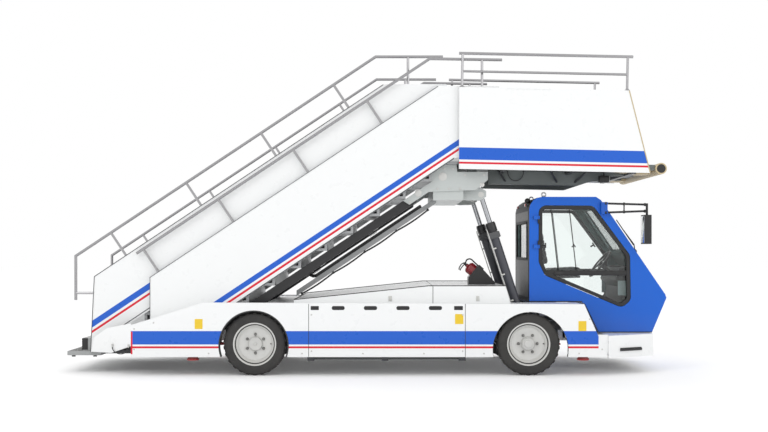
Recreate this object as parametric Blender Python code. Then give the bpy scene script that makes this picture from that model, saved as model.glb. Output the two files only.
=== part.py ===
"""Self-propelled aircraft passenger stairs: chassis, cab, telescopic stair flights and level boarding platform.

Metres, +Z up, +X towards the cab's nose, -Y to the machine's right side. The origin is on the ground,
midway along the length and across the width. Every piece that moves has its object origin on its joint.
"""

import math

import bmesh
import bpy
from mathutils import Matrix, Vector

# Overall driving sizes
GAP = 0.0003                 # between pieces that touch
CHEEK = 0.0005               # running gap at hinge cheeks and slide faces
LENGTH = 6.98
WIDTH = 2.20
SKIN = 0.040                 # thickness of a bodywork wall

# Wheels and axles
WHEEL_RADIUS = 0.355
TYRE_WIDTH = 0.190
WHEELBASE = 3.097
FRONT_AXLE_X = 1.814
REAR_AXLE_X = FRONT_AXLE_X - WHEELBASE
TYRE_OUTER_Y = 1.085
RIM_RADIUS = 0.243
HUB_FACE_Y = 0.970
KINGPIN_Y = 0.845
KINGPIN_HALF = 0.055
AXLE_RADIUS = 0.045

# Chassis
RAIL_Y = 0.420
RAIL_WIDTH = 0.080
RAIL_BOTTOM = 0.470
RAIL_TOP = 0.580
FRAME_REAR_X = -2.545
FRAME_FRONT_X = 2.600
NOSE_CARRIER_BOTTOM = 0.340
DECK_TOP = 0.827
DECK_SHEET = 0.030
SIDE_BOTTOM = 0.213
SIDE_REAR_X = -2.677
SIDE_FRONT_X = 2.710

# Stair geometry: both flights share one slope
SLOPE = math.radians(33.6)
RISER = 0.200
SHEET = 0.030
LIFT_HINGE = (-2.980, 0.380)
NOSING_DROP = 0.800          # from a flight panel's top edge down to its nosing line
PANEL_SHEET = 0.030
LOWER_PANEL_Y = 0.785        # inner face of each side panel
UPPER_PANEL_Y = 0.855
PLATFORM_PANEL_Y = 0.915
LOWER_LANDING_Z = 2.500
UPPER_LANDING_Z = 2.440
LOWER_TOP_START = (-3.171, 1.117)
UPPER_TOP_START = (-2.512, 1.107)
LOWER_TREADS = 11
UPPER_TREADS = 9
RAIL_TUBE = 0.017

# Lift
LIFT_FOOT = (1.813, 0.550)
LIFT_EYE = (1.315, 2.069)
LIFT_Y = 0.600
BARREL_RADIUS = 0.0525
ROD_RADIUS = 0.0285
BARREL_LENGTH = 1.254
ROD_TAIL = 1.150             # rod length inside the barrel when the lift is down
EYE_RADIUS = 0.045
EYE_HALF = 0.035
FOOT_HALF = BARREL_RADIUS + 0.0025

# Platform
PLATFORM_HINGE = (1.200, 2.270)
PLATFORM_DROOP = math.radians(1.2)
PLATFORM_REAR_X = 1.035
PLATFORM_FRONT_X = 3.219
PLATFORM_BOTTOM = 2.345
PLATFORM_TOP = 3.281
PLATFORM_FLOOR = 2.440
BUMPER_TUBE_RADIUS = 0.065
BUMPER_TUBE_X = 3.344
BUMPER_TUBE_Z = 2.396

# Cab
CAB_HALF = 0.640
CAB_WALL = 0.040
CAB_FLOOR_Z = 0.8093
CAB_NOSE_BOTTOM = 0.452
CAB_ROOF_Z = 2.044
CAB_REAR_X = 1.882
CAB_NOSE_X = LENGTH / 2
STEERING_CENTRE = Vector((2.8425, 0, 1.249))
STEERING_AXIS = Vector((-0.18, 0, 0.145)).normalized()
STEERING_HUB_BACK = 0.012

# Stabilisers
JACK_X = {"rear": -2.000, "front": 2.450}
JACK_Y = 0.930
JACK_STEM = 0.055
JACK_PAD_Z = 0.165

SIDES = (("right", -1), ("left", 1))


def clear_scene():
    for item in list(bpy.data.objects):
        bpy.data.objects.remove(item, do_unlink=True)


def material(name, colour, roughness, metallic=0.0):
    found = bpy.data.materials.get(name)
    if found:
        return found
    made = bpy.data.materials.new(name)
    made.use_nodes = True
    made.diffuse_color = (*colour, 1)
    shader = made.node_tree.nodes["Principled BSDF"]
    shader.inputs["Base Color"].default_value = (*colour, 1)
    shader.inputs["Roughness"].default_value = roughness
    shader.inputs["Metallic"].default_value = metallic
    return made


def finish(name):
    finishes = {
        "white": ((0.86, 0.87, 0.88), 0.35, 0.0),
        "blue": ((0.03, 0.15, 0.50), 0.30, 0.0),
        "grey": ((0.55, 0.58, 0.58), 0.45, 0.0),
        "dark": ((0.10, 0.11, 0.12), 0.50, 0.0),
        "black": ((0.02, 0.02, 0.02), 0.60, 0.0),
        "tyre": ((0.03, 0.03, 0.03), 0.80, 0.0),
        "steel": ((0.60, 0.60, 0.62), 0.30, 1.0),
        "chrome": ((0.75, 0.76, 0.78), 0.12, 1.0),
        "tread": ((0.50, 0.52, 0.53), 0.50, 0.8),
        "glass": ((0.35, 0.45, 0.45), 0.05, 0.0),
        "red": ((0.35, 0.02, 0.03), 0.30, 0.0),
        "beige": ((0.72, 0.62, 0.45), 0.70, 0.0),
    }
    return material(name, *finishes[name])


# Solids, each a closed bmesh


def prism(outline, low_y, high_y):
    """An outline in XZ, extruded across Y."""
    mesh = bmesh.new()
    near = [mesh.verts.new((x, low_y, z)) for x, z in outline]
    far = [mesh.verts.new((x, high_y, z)) for x, z in outline]
    close_prism(mesh, near, far)
    return mesh


def plate(outline, low_z, high_z):
    """An outline in XY, extruded up Z."""
    mesh = bmesh.new()
    near = [mesh.verts.new((x, y, low_z)) for x, y in outline]
    far = [mesh.verts.new((x, y, high_z)) for x, y in outline]
    close_prism(mesh, near, far)
    return mesh


def bridge(outline, low_x, high_x):
    """An outline in YZ, extruded along X."""
    mesh = bmesh.new()
    near = [mesh.verts.new((low_x, y, z)) for y, z in outline]
    far = [mesh.verts.new((high_x, y, z)) for y, z in outline]
    close_prism(mesh, near, far)
    return mesh


def close_prism(mesh, near, far):
    mesh.faces.new(near)
    mesh.faces.new(reversed(far))
    for i in range(len(near)):
        j = (i + 1) % len(near)
        mesh.faces.new((near[j], near[i], far[i], far[j]))
    bmesh.ops.recalc_face_normals(mesh, faces=mesh.faces)


def block(low, high):
    (x0, y0, z0), (x1, y1, z1) = low, high
    return prism(((x0, z0), (x1, z0), (x1, z1), (x0, z1)), y0, y1)


def bar(start, end, radius, sides=12):
    """A round bar between two points."""
    mesh = bmesh.new()
    start = Vector(start)
    run = Vector(end) - start
    turn = run.to_track_quat("Z", "Y").to_matrix().to_4x4()
    place = Matrix.Translation(start + run / 2) @ turn
    bmesh.ops.create_cone(
        mesh, cap_ends=True, segments=sides, radius1=radius, radius2=radius, depth=run.length, matrix=place
    )
    return mesh


def tube_run(points, radius, y, sides=8):
    """A round tube through points of one XZ plane, mitred at its bends."""
    mesh = bmesh.new()
    path = [Vector((x, y, z)) for x, z in points]
    rings = []
    for i, point in enumerate(path):
        before = (point - path[i - 1]).normalized() if i else None
        after = (path[i + 1] - point).normalized() if i + 1 < len(path) else None
        along = ((before or after) + (after or before)).normalized()
        stretch = 1 / along.dot(after or before)
        across = Vector((0, 1, 0))
        upward = across.cross(along)
        ring = []
        for k in range(sides):
            turn = 2 * math.pi * (k + 0.5) / sides
            ring.append(mesh.verts.new(point + across * radius * math.cos(turn) + upward * radius * stretch * math.sin(turn)))
        rings.append(ring)
    mesh.faces.new(rings[0])
    mesh.faces.new(reversed(rings[-1]))
    for first, second in zip(rings, rings[1:]):
        for k in range(sides):
            n = (k + 1) % sides
            mesh.faces.new((first[n], first[k], second[k], second[n]))
    bmesh.ops.recalc_face_normals(mesh, faces=mesh.faces)
    return mesh


def turned(profile, place, segments=32, offset_turn=0.0):
    """A closed profile of (radius, height) turned about Z, then placed; a radius of 0 lies on the axis."""
    mesh = bmesh.new()
    rings = []
    for radius, height in profile:
        if radius == 0:
            rings.append([mesh.verts.new((0, 0, height))])
            continue
        turns = (2 * math.pi * (k + offset_turn) / segments for k in range(segments))
        rings.append([mesh.verts.new((radius * math.cos(t), radius * math.sin(t), height)) for t in turns])
    pairs = list(zip(rings, rings[1:]))
    if len(rings[0]) > 1:
        pairs.append((rings[-1], rings[0]))
    for first, second in pairs:
        for k in range(segments):
            n = (k + 1) % segments
            corners = [first[k % len(first)], first[n % len(first)], second[n % len(second)], second[k % len(second)]]
            face = list(dict.fromkeys(corners))
            if len(face) > 2:
                mesh.faces.new(face)
    mesh.transform(place)
    bmesh.ops.recalc_face_normals(mesh, faces=mesh.faces)
    return mesh


def across(x, y, z, sign):
    """Places a turned shape with its axis along Y, its height running outboard on the given side."""
    return Matrix.Translation((x, y, z)) @ Matrix.Rotation(math.radians(-90) * sign, 4, "X")


def arc(centre, radius, start, end, steps):
    """Points of an arc in XZ, angles in degrees from +X towards +Z."""
    turns = (math.radians(start + (end - start) * i / steps) for i in range(steps + 1))
    return [(centre[0] + radius * math.cos(t), centre[1] + radius * math.sin(t)) for t in turns]


# Objects


def make(name, mesh, look, pivot=(0, 0, 0)):
    mesh.transform(Matrix.Translation(-Vector(pivot)))
    data = bpy.data.meshes.new(name)
    mesh.to_mesh(data)
    mesh.free()
    made = bpy.data.objects.new(name, data)
    made.location = pivot
    data.materials.append(finish(look))
    data.shade_smooth()
    data.set_sharp_from_angle(angle=math.radians(35))
    bpy.context.scene.collection.objects.link(made)
    return made


def helper(mesh, name, group):
    data = bpy.data.meshes.new(name)
    mesh.to_mesh(data)
    mesh.free()
    made = bpy.data.objects.new(name, data)
    made.hide_render = True
    made.display_type = "WIRE"
    group.objects.link(made)


def combine(target, meshes, operation):
    """Adds one exact Boolean that joins the meshes to the target, or cuts them from it."""
    group = bpy.data.collections.new(f"{target.name}_{operation.lower()}")
    bpy.context.scene.collection.children.link(group)
    for number, mesh in enumerate(meshes):
        helper(mesh, f"{group.name}_{number}", group)
    boolean = target.modifiers.new(operation.title(), "BOOLEAN")
    boolean.operation = operation
    boolean.operand_type = "COLLECTION"
    boolean.collection = group
    boolean.solver = "EXACT"
    return target


def welded(target, *meshes):
    return combine(target, meshes, "UNION")


def cut(target, *meshes):
    return combine(target, meshes, "DIFFERENCE")


def sided(sign, inner, outer):
    """The low and high Y of a piece that lies between two distances from the centre plane."""
    return (inner, outer) if sign > 0 else (-outer, -inner)


# Chassis


def chassis_frame():
    rails = [
        block((FRAME_REAR_X, y - RAIL_WIDTH / 2, RAIL_BOTTOM), (FRAME_FRONT_X, y + RAIL_WIDTH / 2, RAIL_TOP))
        for y in (-RAIL_Y, RAIL_Y)
    ]
    cover_inner = WIDTH / 2 - SKIN - GAP
    beams = []
    for x, reach in (
        (JACK_X["rear"], JACK_Y), (-0.550, cover_inner), (-0.270, RAIL_Y), (0.180, RAIL_Y),
        (1.000, cover_inner), (JACK_X["front"], JACK_Y),
    ):
        beams.append(block((x - 0.05, -reach, RAIL_BOTTOM + 0.015), (x + 0.05, reach, RAIL_TOP - 0.025)))
    foot_x, foot_z = LIFT_FOOT
    beams.append(block((foot_x - 0.10, -LIFT_Y - 0.10, RAIL_BOTTOM + 0.003), (foot_x + 0.10, LIFT_Y + 0.10, 0.490)))
    ears = []
    for side in (-1, 1):
        for inner in (FOOT_HALF + CHEEK, -FOOT_HALF - CHEEK - 0.02):
            centre = side * LIFT_Y + inner
            outline = [(foot_x - 0.08, 0.48), (foot_x + 0.08, 0.48)] + arc(LIFT_FOOT, 0.06, 0, 180, 6)
            ears.append(prism(outline, centre, centre + 0.02))
    hinge_x, hinge_z = LIFT_HINGE
    wall = FRAME_REAR_X + 0.095
    tray = prism(
        (
            (wall, 0.455), (FRAME_REAR_X - 0.055, 0.455), (FRAME_REAR_X - 0.055, 0.250),
            (-3.100, 0.250), (-3.100, 0.210), (wall, 0.210),
        ),
        -0.66, 0.66,
    )
    beams += [
        block((FRAME_REAR_X, y - 0.035, 0.400), (wall, y + 0.035, 0.500)) for y in (-RAIL_Y, RAIL_Y)
    ]
    beams += [
        block((FRAME_FRONT_X - 0.12, y - 0.035, NOSE_CARRIER_BOTTOM), (FRAME_FRONT_X, y + 0.035, 0.480))
        for y in (-RAIL_Y, RAIL_Y)
    ]
    for side in (-1, 1):
        outline = [(hinge_x + 0.06, 0.24), (hinge_x - 0.06, 0.24)] + arc(LIFT_HINGE, 0.06, 180, 0, 6)
        ears.append(prism(outline, *sided(side, 0.600 + CHEEK, 0.640)))
    frame = make("chassis_frame", rails[0], "dark")
    return welded(frame, rails[1], tray, *beams, *ears)


def axle(name, x, reach, look="dark"):
    """A beam axle with its two leaf springs under the frame rails."""
    parts = []
    for side in (-1, 1):
        y = side * RAIL_Y
        top = RAIL_BOTTOM - GAP
        low, high = WHEEL_RADIUS + 0.020, WHEEL_RADIUS + 0.060
        outline = [(x - 0.42, top), (x - 0.42, top - 0.03), (x - 0.10, low), (x + 0.10, low)]
        outline += [(x + 0.42, top - 0.03), (x + 0.42, top), (x + 0.34, top), (x + 0.10, high)]
        outline += [(x - 0.10, high), (x - 0.34, top)]
        parts.append(prism(outline, y - 0.03, y + 0.03))
    beam = make(name, bar((x, -reach, WHEEL_RADIUS), (x, reach, WHEEL_RADIUS), AXLE_RADIUS), look)
    return beam, parts


def rear_axle():
    beam, parts = axle("rear_axle", REAR_AXLE_X, HUB_FACE_Y - CHEEK)
    case = turned(
        ((0, -0.13), (0.075, -0.12), (0.13, -0.05), (0.13, 0.05), (0.075, 0.12), (0, 0.13)),
        across(REAR_AXLE_X, 0, WHEEL_RADIUS, 1), 16,
    )
    flanges = [
        bar((REAR_AXLE_X, side * 0.94, WHEEL_RADIUS), (REAR_AXLE_X, side * (HUB_FACE_Y - CHEEK), WHEEL_RADIUS), 0.09, 16)
        for side in (-1, 1)
    ]
    return welded(beam, case, *parts, *flanges)


def front_axle():
    beam, parts = axle("front_axle", FRONT_AXLE_X, KINGPIN_Y)
    low, high = WHEEL_RADIUS - KINGPIN_HALF, WHEEL_RADIUS + KINGPIN_HALF
    bosses = [
        bar((FRONT_AXLE_X, side * KINGPIN_Y, low), (FRONT_AXLE_X, side * KINGPIN_Y, high), 0.040, 12)
        for side in (-1, 1)
    ]
    return welded(beam, *parts, *bosses)


def knuckle(side, sign):
    """The steered yoke round the end of the front axle, with its stub for the wheel."""
    inner, outer = KINGPIN_Y - 0.035, 0.925
    top, bottom = WHEEL_RADIUS + KINGPIN_HALF + CHEEK, WHEEL_RADIUS - KINGPIN_HALF - CHEEK
    shape = [
        (inner, top), (inner, top + 0.025), (outer, top + 0.025), (outer, bottom - 0.025),
        (inner, bottom - 0.025), (inner, bottom), (outer - 0.03, bottom), (outer - 0.03, top),
    ]
    yoke = bridge([(sign * y, z) for y, z in shape], FRONT_AXLE_X - 0.04, FRONT_AXLE_X + 0.04)
    pivot = (FRONT_AXLE_X, sign * KINGPIN_Y, WHEEL_RADIUS)
    stub = bar((FRONT_AXLE_X, sign * (outer - 0.02), WHEEL_RADIUS), (FRONT_AXLE_X, sign * (HUB_FACE_Y - CHEEK), WHEEL_RADIUS), 0.05)
    made = make(f"knuckle_{side}", yoke, "dark", pivot)
    stub.transform(Matrix.Translation(-Vector(pivot)))
    made = welded_local(made, stub)
    return made


def welded_local(target, mesh):
    """Joins a mesh that is already in the target's own space."""
    mesh.transform(Matrix.Translation(target.location))
    return welded(target, mesh)


def wheel(name, x, sign):
    """A block-tread tyre on a dished steel rim, turned about the axle line."""
    inner_y = TYRE_OUTER_Y - TYRE_WIDTH
    width = TYRE_WIDTH
    disc = HUB_FACE_Y - inner_y
    segments = 32
    tread = WHEEL_RADIUS / math.cos(math.pi / segments)
    profile = (
        (0, disc), (0.185, disc + 0.030), (0.205, 0.012), (0.262, 0.0), (0.325, 0.006), (tread, 0.026),
        (tread, width - 0.026), (0.325, width - 0.006), (RIM_RADIUS, width), (0.215, width - 0.020),
        (0.190, disc + 0.055), (0.120, disc + 0.030), (0.078, disc + 0.030), (0.070, disc + 0.075),
        (0, disc + 0.080),
    )
    mesh = turned(profile, across(x, sign * inner_y, WHEEL_RADIUS, sign), segments, 0.5)
    return make(name, mesh, "tyre", (x, sign * (inner_y + width / 2), WHEEL_RADIUS))


def side_cover(side, sign):
    rear_arch = arc((-1.292, 0.341), 0.396, 180 + 18.9, -18.9, 16)
    front_arch = arc((1.833, 0.294), 0.426, 180 + 11, -11, 16)
    outline = [(SIDE_REAR_X, SIDE_BOTTOM), *rear_arch, *front_arch, (SIDE_FRONT_X, SIDE_BOTTOM)]
    outline += [(2.587, 0.473), (2.438, 0.809), (-1.864, DECK_TOP), (-2.468, 0.638), (SIDE_REAR_X, 0.574)]
    return make(f"side_cover_{side}", prism(outline, *sided(sign, WIDTH / 2 - SKIN, WIDTH / 2)), "white")


def deck():
    """The sheet deck: an open ring round the machinery, side arms past the lift, and rear fender strips."""
    edge = WIDTH / 2 - SKIN - GAP
    arm = 0.700
    half = [(-1.190, edge), (2.420, edge), (2.420, arm), (1.640, arm)]
    outline = half + [(x, -y) for x, y in reversed(half)]
    ring = make("deck", plate(outline, DECK_TOP - 0.018 - DECK_SHEET, DECK_TOP - 0.018), "white")
    strips = []
    top = DECK_TOP - 0.018
    for sign in (-1, 1):
        shape = ((-2.660, 0.570), (-2.468, 0.632), (-1.864, top), (-1.150, top))
        shape += tuple((x, z - 0.020) for x, z in reversed(shape))
        strips.append(prism(shape, *sided(sign, UPPER_PANEL_Y + PANEL_SHEET + 0.007, edge)))
    hatch = block((-0.800, -0.860, 0.700), (1.500, 0.860, 0.900))
    return cut(welded(ring, *strips), hatch)


def engine_cover():
    """The low housing over the engine, open below, that the deck carries."""
    base = DECK_TOP - 0.018 + GAP
    outer = ((-0.849, base), (1.624, base), (1.567, 1.009), (0.688, 1.009), (-0.849, 0.850))
    inner = ((-0.820, 0.700), (1.585, 0.700), (1.535, 0.984), (0.690, 0.984), (-0.820, 0.828))
    body = make("engine_cover", prism(outer, -0.950, 0.950), "white")
    return cut(body, prism(inner, -0.920, 0.920))


def engine_block():
    return make("engine_block", block((-0.450, -0.300, RAIL_TOP - 0.025 + GAP), (0.350, 0.300, 0.800)), "dark")


def front_bumper():
    outline = ((SIDE_FRONT_X + 0.002, -1.100), (3.297, -0.790), (3.297, 0.790), (SIDE_FRONT_X + 0.002, 1.100))
    inside = ((2.600, -1.058), (3.257, -0.765), (3.257, 0.765), (2.600, 1.058))
    body = make("front_bumper", plate(outline, 0.200, CAB_NOSE_BOTTOM - GAP), "white")
    return cut(body, plate(inside, 0.150, 0.415))


def nose_carrier():
    """The flat carrier that holds the bumper and the cab's nose off the ends of the rails."""
    rear = FRAME_FRONT_X + GAP
    return make("nose_carrier", block((rear, -0.50, NOSE_CARRIER_BOTTOM), (3.2567, 0.50, 0.4147)), "dark")


def rear_step():
    """The fixed foot plate on the ground side of the stairs, with the rubber-faced block above it."""
    base = block((-LENGTH / 2, -0.780, 0.200), (-3.100 - GAP, 0.780, 0.250))
    made = make("rear_step", base, "grey")
    return welded(made, block((-3.327, -0.740, 0.240), (-3.120, 0.740, 0.397)))


def rear_fairing(side, sign):
    """The white cheek that closes the side between the chassis cover and the stair foot."""
    front = SIDE_REAR_X - GAP
    outline = ((-3.147, 0.420), (-2.984, 0.529), (front, 0.592), (front, 0.335), (-2.927, 0.248), (-3.190, 0.252))
    mesh = prism(outline, *sided(sign, 0, 0.030))
    for vert in mesh.verts:
        vert.co.y += sign * (1.068 - 0.44 * (front - vert.co.x))
    return make(f"rear_fairing_{side}", mesh, "white")


def stabiliser(place, side, sign):
    x = JACK_X[place]
    low, high = sided(sign, JACK_Y + CHEEK, JACK_Y + JACK_STEM)
    middle = (low + high) / 2
    stem = block((x - JACK_STEM / 2, low, 0.190), (x + JACK_STEM / 2, high, 0.600))
    pivot = (x, middle, JACK_PAD_Z)
    made = make(f"stabiliser_{place}_{side}", stem, "dark", pivot)
    return welded(made, bar((x, middle, JACK_PAD_Z), (x, middle, 0.200), 0.055, 16))


# Stairs


def tread_line(top_start, x):
    """Height of a flight panel's sloping top edge."""
    return top_start[1] + math.tan(SLOPE) * (x - top_start[0])


def nose_x(top_start, height):
    return top_start[0] + (height + NOSING_DROP - top_start[1]) / math.tan(SLOPE)


def steps(top_start, landing_z, landing_end, treads, half_width):
    """The folded sheet of treads and risers, ending in a short landing."""
    heights = [landing_z - RISER * k for k in reversed(range(treads))]
    upper = [(nose_x(top_start, heights[0]), heights[0] - RISER)]
    lower = [(upper[0][0] + SHEET, upper[0][1])]
    for height in heights:
        x = nose_x(top_start, height)
        if height != heights[0]:
            upper.append((x, height - RISER))
            lower.append((x + SHEET, height - RISER - SHEET))
        upper.append((x, height))
        lower.append((x + SHEET, height - SHEET))
    upper.append((landing_end, landing_z))
    lower.append((landing_end, landing_z - SHEET))
    return prism(upper + lower[::-1], -half_width, half_width)


def lower_flight():
    half = LOWER_PANEL_Y - GAP
    pivot = (LIFT_HINGE[0], 0, LIFT_HINGE[1])
    made = make("lower_steps", steps(LOWER_TOP_START, LOWER_LANDING_Z, 0.735, LOWER_TREADS, half), "tread", pivot)
    x, z = LIFT_HINGE
    beam = bar((x, -0.600, z), (x, 0.600, z), 0.045, 12)
    link = block((x, -0.590, z - 0.02), (x + 0.105, 0.590, z + 0.02))
    return welded(made, beam, link)


def lower_panel(side, sign):
    x0, z0 = LOWER_TOP_START
    drop = 0.820
    knee_z = LOWER_LANDING_Z - SHEET + 0.005
    outline = (
        LOWER_TOP_START, (-3.215, 0.229), (-3.022, tread_line(LOWER_TOP_START, -3.022) - drop),
        (x0 + (knee_z + drop - z0) / math.tan(SLOPE), knee_z), (0.735, knee_z), (0.900, 2.585), (0.900, 3.337),
        (0.171, tread_line(LOWER_TOP_START, 0.171)),
    )
    mesh = prism(outline, *sided(sign, LOWER_PANEL_Y, LOWER_PANEL_Y + PANEL_SHEET))
    return make(f"lower_panel_{side}", mesh, "white", (LIFT_HINGE[0], 0, LIFT_HINGE[1]))


def slope_post(top_start, x, rise, y):
    """A post square to the slope, from a panel's top edge up to the handrail."""
    foot = Vector((x, y, tread_line(top_start, x) + rise))
    down = Vector((math.sin(SLOPE), 0, -math.cos(SLOPE)))
    length = rise * math.cos(SLOPE) - GAP
    return bar(foot, foot + down * length, RAIL_TUBE - 0.002, 8)


def lower_rail(side, sign):
    y = sign * (LOWER_PANEL_Y + PANEL_SHEET / 2)
    rise = 0.3765
    low_x, knee_x = -3.386, 0.082
    low_z = tread_line(LOWER_TOP_START, low_x) + rise
    knee_z = tread_line(LOWER_TOP_START, knee_x) + rise
    path = ((low_x, 0.842), (low_x, low_z), (knee_x, knee_z), (0.860, knee_z))
    made = make(f"lower_rail_{side}", tube_run(path, RAIL_TUBE, y), "steel", (LIFT_HINGE[0], 0, LIFT_HINGE[1]))
    posts = [slope_post(LOWER_TOP_START, x, rise, y) for x in (-2.980, -2.110, -1.245, -0.405)]
    posts.append(bar((0.456, y, 3.337 + GAP), (0.456, y, knee_z), RAIL_TUBE - 0.002, 8))
    posts.append(bar((low_x, y, 0.923), (-3.1825, y, 0.923), RAIL_TUBE - 0.003, 8))
    return welded(made, *posts)


def upper_flight():
    half = UPPER_PANEL_Y - GAP
    return make("upper_steps", steps(UPPER_TOP_START, UPPER_LANDING_Z, 1.030, UPPER_TREADS, half), "tread")


def upper_panel(side, sign):
    x0, z0 = UPPER_TOP_START
    drop = 0.964
    floor_z = UPPER_LANDING_Z + 0.040
    outline = (
        UPPER_TOP_START, (x0, 0.620), (x0 + (0.620 + drop - z0) / math.tan(SLOPE), 0.620),
        (x0 + (floor_z + drop - z0) / math.tan(SLOPE), floor_z), (1.500, floor_z), (1.500, 3.300),
        (0.800, tread_line(UPPER_TOP_START, 0.800)),
    )
    return make(
        f"upper_panel_{side}", prism(outline, *sided(sign, UPPER_PANEL_Y, UPPER_PANEL_Y + PANEL_SHEET)), "white"
    )


def upper_rail(side, sign):
    y = sign * (UPPER_PANEL_Y + PANEL_SHEET / 2)
    rise = 0.376
    low_x, knee_x = -2.667, 0.704
    path = (
        (low_x, tread_line(UPPER_TOP_START, low_x) + rise), (knee_x, tread_line(UPPER_TOP_START, knee_x) + rise),
        (1.536, 3.606),
    )
    made = make(f"upper_rail_{side}", tube_run(path, RAIL_TUBE, y), "steel")
    posts = [slope_post(UPPER_TOP_START, x, rise, y) for x in (-2.590, -1.727, -0.868, -0.020)]
    posts.append(bar((1.306, y, 3.3035 + GAP), (1.306, y, 3.607), RAIL_TUBE - 0.002, 8))
    return welded(made, *posts)


def boom_line(x):
    """Underside of the upper flight's folded sheet."""
    return tread_line(UPPER_TOP_START, x) - NOSING_DROP - RISER - SHEET - SHEET * math.tan(SLOPE) - GAP


def lift_bracket():
    """Side plates, cross member and cylinder ears below the head of the upper flight."""
    outline = (
        (0.400, boom_line(0.400)), (0.7288, boom_line(0.7288)), (0.7290, 2.4097), (1.020, 2.4097),
        (1.028, 2.325), (1.384, 2.325), (1.384, 2.235), (1.244, 2.115), (0.700, 2.095), (0.475, 1.945),
    )
    made = make("lift_bracket", prism(outline, 0.740, 0.780), "grey")
    member = block((0.750, -0.760, 2.000), (1.100, 0.760, 2.160))
    ear = ((1.050, 2.020), (1.160, 2.000), (1.320, 2.005), (1.375, 2.045), (1.375, 2.110), (1.300, 2.155), (1.050, 2.155))
    eye_x, eye_z = LIFT_EYE
    ears = []
    for y in (-LIFT_Y, LIFT_Y):
        for way in (-1, 1):
            face = EYE_HALF + 0.0055
            ears.append(prism(ear, *sorted((y + way * face, y + way * (face + 0.020)))))
            boss = y + way * (EYE_HALF + CHEEK)
            ears.append(bar((eye_x, boss, eye_z), (eye_x, boss + way * 0.015, eye_z), 0.030, 12))
    return welded(made, prism(outline, -0.780, -0.740), member, *ears)


def boom_beam(side, sign):
    """A box beam under the upper flight, running down into the chassis well."""
    low_x, high_x, depth = -1.750, 0.560, 0.120
    outline = (
        (low_x, boom_line(low_x)), (low_x + 0.060, boom_line(low_x + 0.060) - depth),
        (high_x, boom_line(high_x) - depth), (high_x, boom_line(high_x)),
    )
    return make(f"boom_beam_{side}", prism(outline, *sided(sign, 0.660, 0.740 - GAP)), "black")


def cable_tray():
    x0, z0, depth = -0.860, 0.8750, 0.065
    rise = math.tan(SLOPE)
    end = 0.800
    top_x = x0 + (2.000 - GAP - z0 - depth) / rise
    outline = ((x0, z0), (x0, z0 + depth), (top_x, 2.000 - GAP), (end, 2.000 - GAP), (end, z0 + rise * (end - x0)))
    return make("cable_tray", prism(outline, -0.480, -0.380), "grey")


def lift_axis():
    run = Vector((LIFT_EYE[0] - LIFT_FOOT[0], 0, LIFT_EYE[1] - LIFT_FOOT[1]))
    return run.to_track_quat("Z", "Y").to_matrix().to_4x4(), run.length


def lift_barrel(side, sign):
    turn, _ = lift_axis()
    pivot = (LIFT_FOOT[0], sign * LIFT_Y, LIFT_FOOT[1])
    place = Matrix.Translation(pivot) @ turn
    bore, gland = ROD_RADIUS + 0.005, ROD_RADIUS + CHEEK
    profile = (
        (0, 0.020), (BARREL_RADIUS, 0.020), (BARREL_RADIUS, BARREL_LENGTH), (gland, BARREL_LENGTH),
        (gland, BARREL_LENGTH - 0.064), (bore, BARREL_LENGTH - 0.064), (bore, 0.085), (0, 0.085),
    )
    made = make(f"lift_barrel_{side}", turned(profile, place, 20), "dark", pivot)
    foot = bar(
        (pivot[0], pivot[1] - FOOT_HALF, pivot[2]), (pivot[0], pivot[1] + FOOT_HALF, pivot[2]), 0.045, 16
    )
    return welded(made, foot)


def lift_rod(side, sign):
    turn, length = lift_axis()
    pivot = Vector((LIFT_FOOT[0], sign * LIFT_Y, LIFT_FOOT[1]))
    along = turn @ Vector((0, 0, 1))
    start = pivot + along * (BARREL_LENGTH - ROD_TAIL)
    end = pivot + along * length
    made = make(f"lift_rod_{side}", bar(start, end, ROD_RADIUS, 20), "chrome")
    return welded(made, bar((end.x, end.y - EYE_HALF, end.z), (end.x, end.y + EYE_HALF, end.z), EYE_RADIUS, 16))


# Platform, modelled level and turned with its droop about the hinge


def droop(made):
    made.rotation_euler = (0, PLATFORM_DROOP, 0)
    return made


def on_platform(name, mesh, look):
    return droop(make(name, mesh, look, (PLATFORM_HINGE[0], 0, PLATFORM_HINGE[1])))


def welded_on_platform(target, meshes):
    """Joins level meshes to a drooping piece, turning them with it."""
    pivot = Vector((PLATFORM_HINGE[0], 0, PLATFORM_HINGE[1]))
    turn = Matrix.Translation(pivot) @ Matrix.Rotation(PLATFORM_DROOP, 4, "Y") @ Matrix.Translation(-pivot)
    for mesh in meshes:
        mesh.transform(turn)
    return welded(target, *meshes)


def platform_floor():
    half = PLATFORM_PANEL_Y - GAP
    front = BUMPER_TUBE_X - BUMPER_TUBE_RADIUS - GAP
    slab = block((PLATFORM_REAR_X, -half, 2.380), (front, half, PLATFORM_FLOOR))
    made = on_platform("platform_floor", slab, "dark")
    parts = []
    for side in (-1, 1):
        beam = ((1.420, 2.210), (2.480, 2.210), (2.820, 2.330), (3.200, 2.350), (3.200, 2.400), (1.420, 2.400))
        parts.append(prism(beam, *sided(side, 0.410, 0.490)))
        lug = [(1.255, 2.400), (1.145, 2.400)] + arc(PLATFORM_HINGE, 0.050, 180, 360, 6)
        parts.append(prism(lug, *sided(side, 0.700, 0.740 - CHEEK)))
    parts.append(block((1.900, -0.450, 2.300), (1.980, 0.450, 2.400)))
    parts.append(block((2.700, -0.450, 2.330), (2.780, 0.450, 2.400)))
    return welded_on_platform(made, parts)


def platform_panel(side, sign):
    outline = (
        (PLATFORM_REAR_X, PLATFORM_BOTTOM), (PLATFORM_FRONT_X, PLATFORM_BOTTOM), (2.962, PLATFORM_TOP),
        (1.018, PLATFORM_TOP),
    )
    mesh = prism(outline, *sided(sign, PLATFORM_PANEL_Y, PLATFORM_PANEL_Y + PANEL_SHEET))
    return on_platform(f"platform_panel_{side}", mesh, "white")


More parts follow.
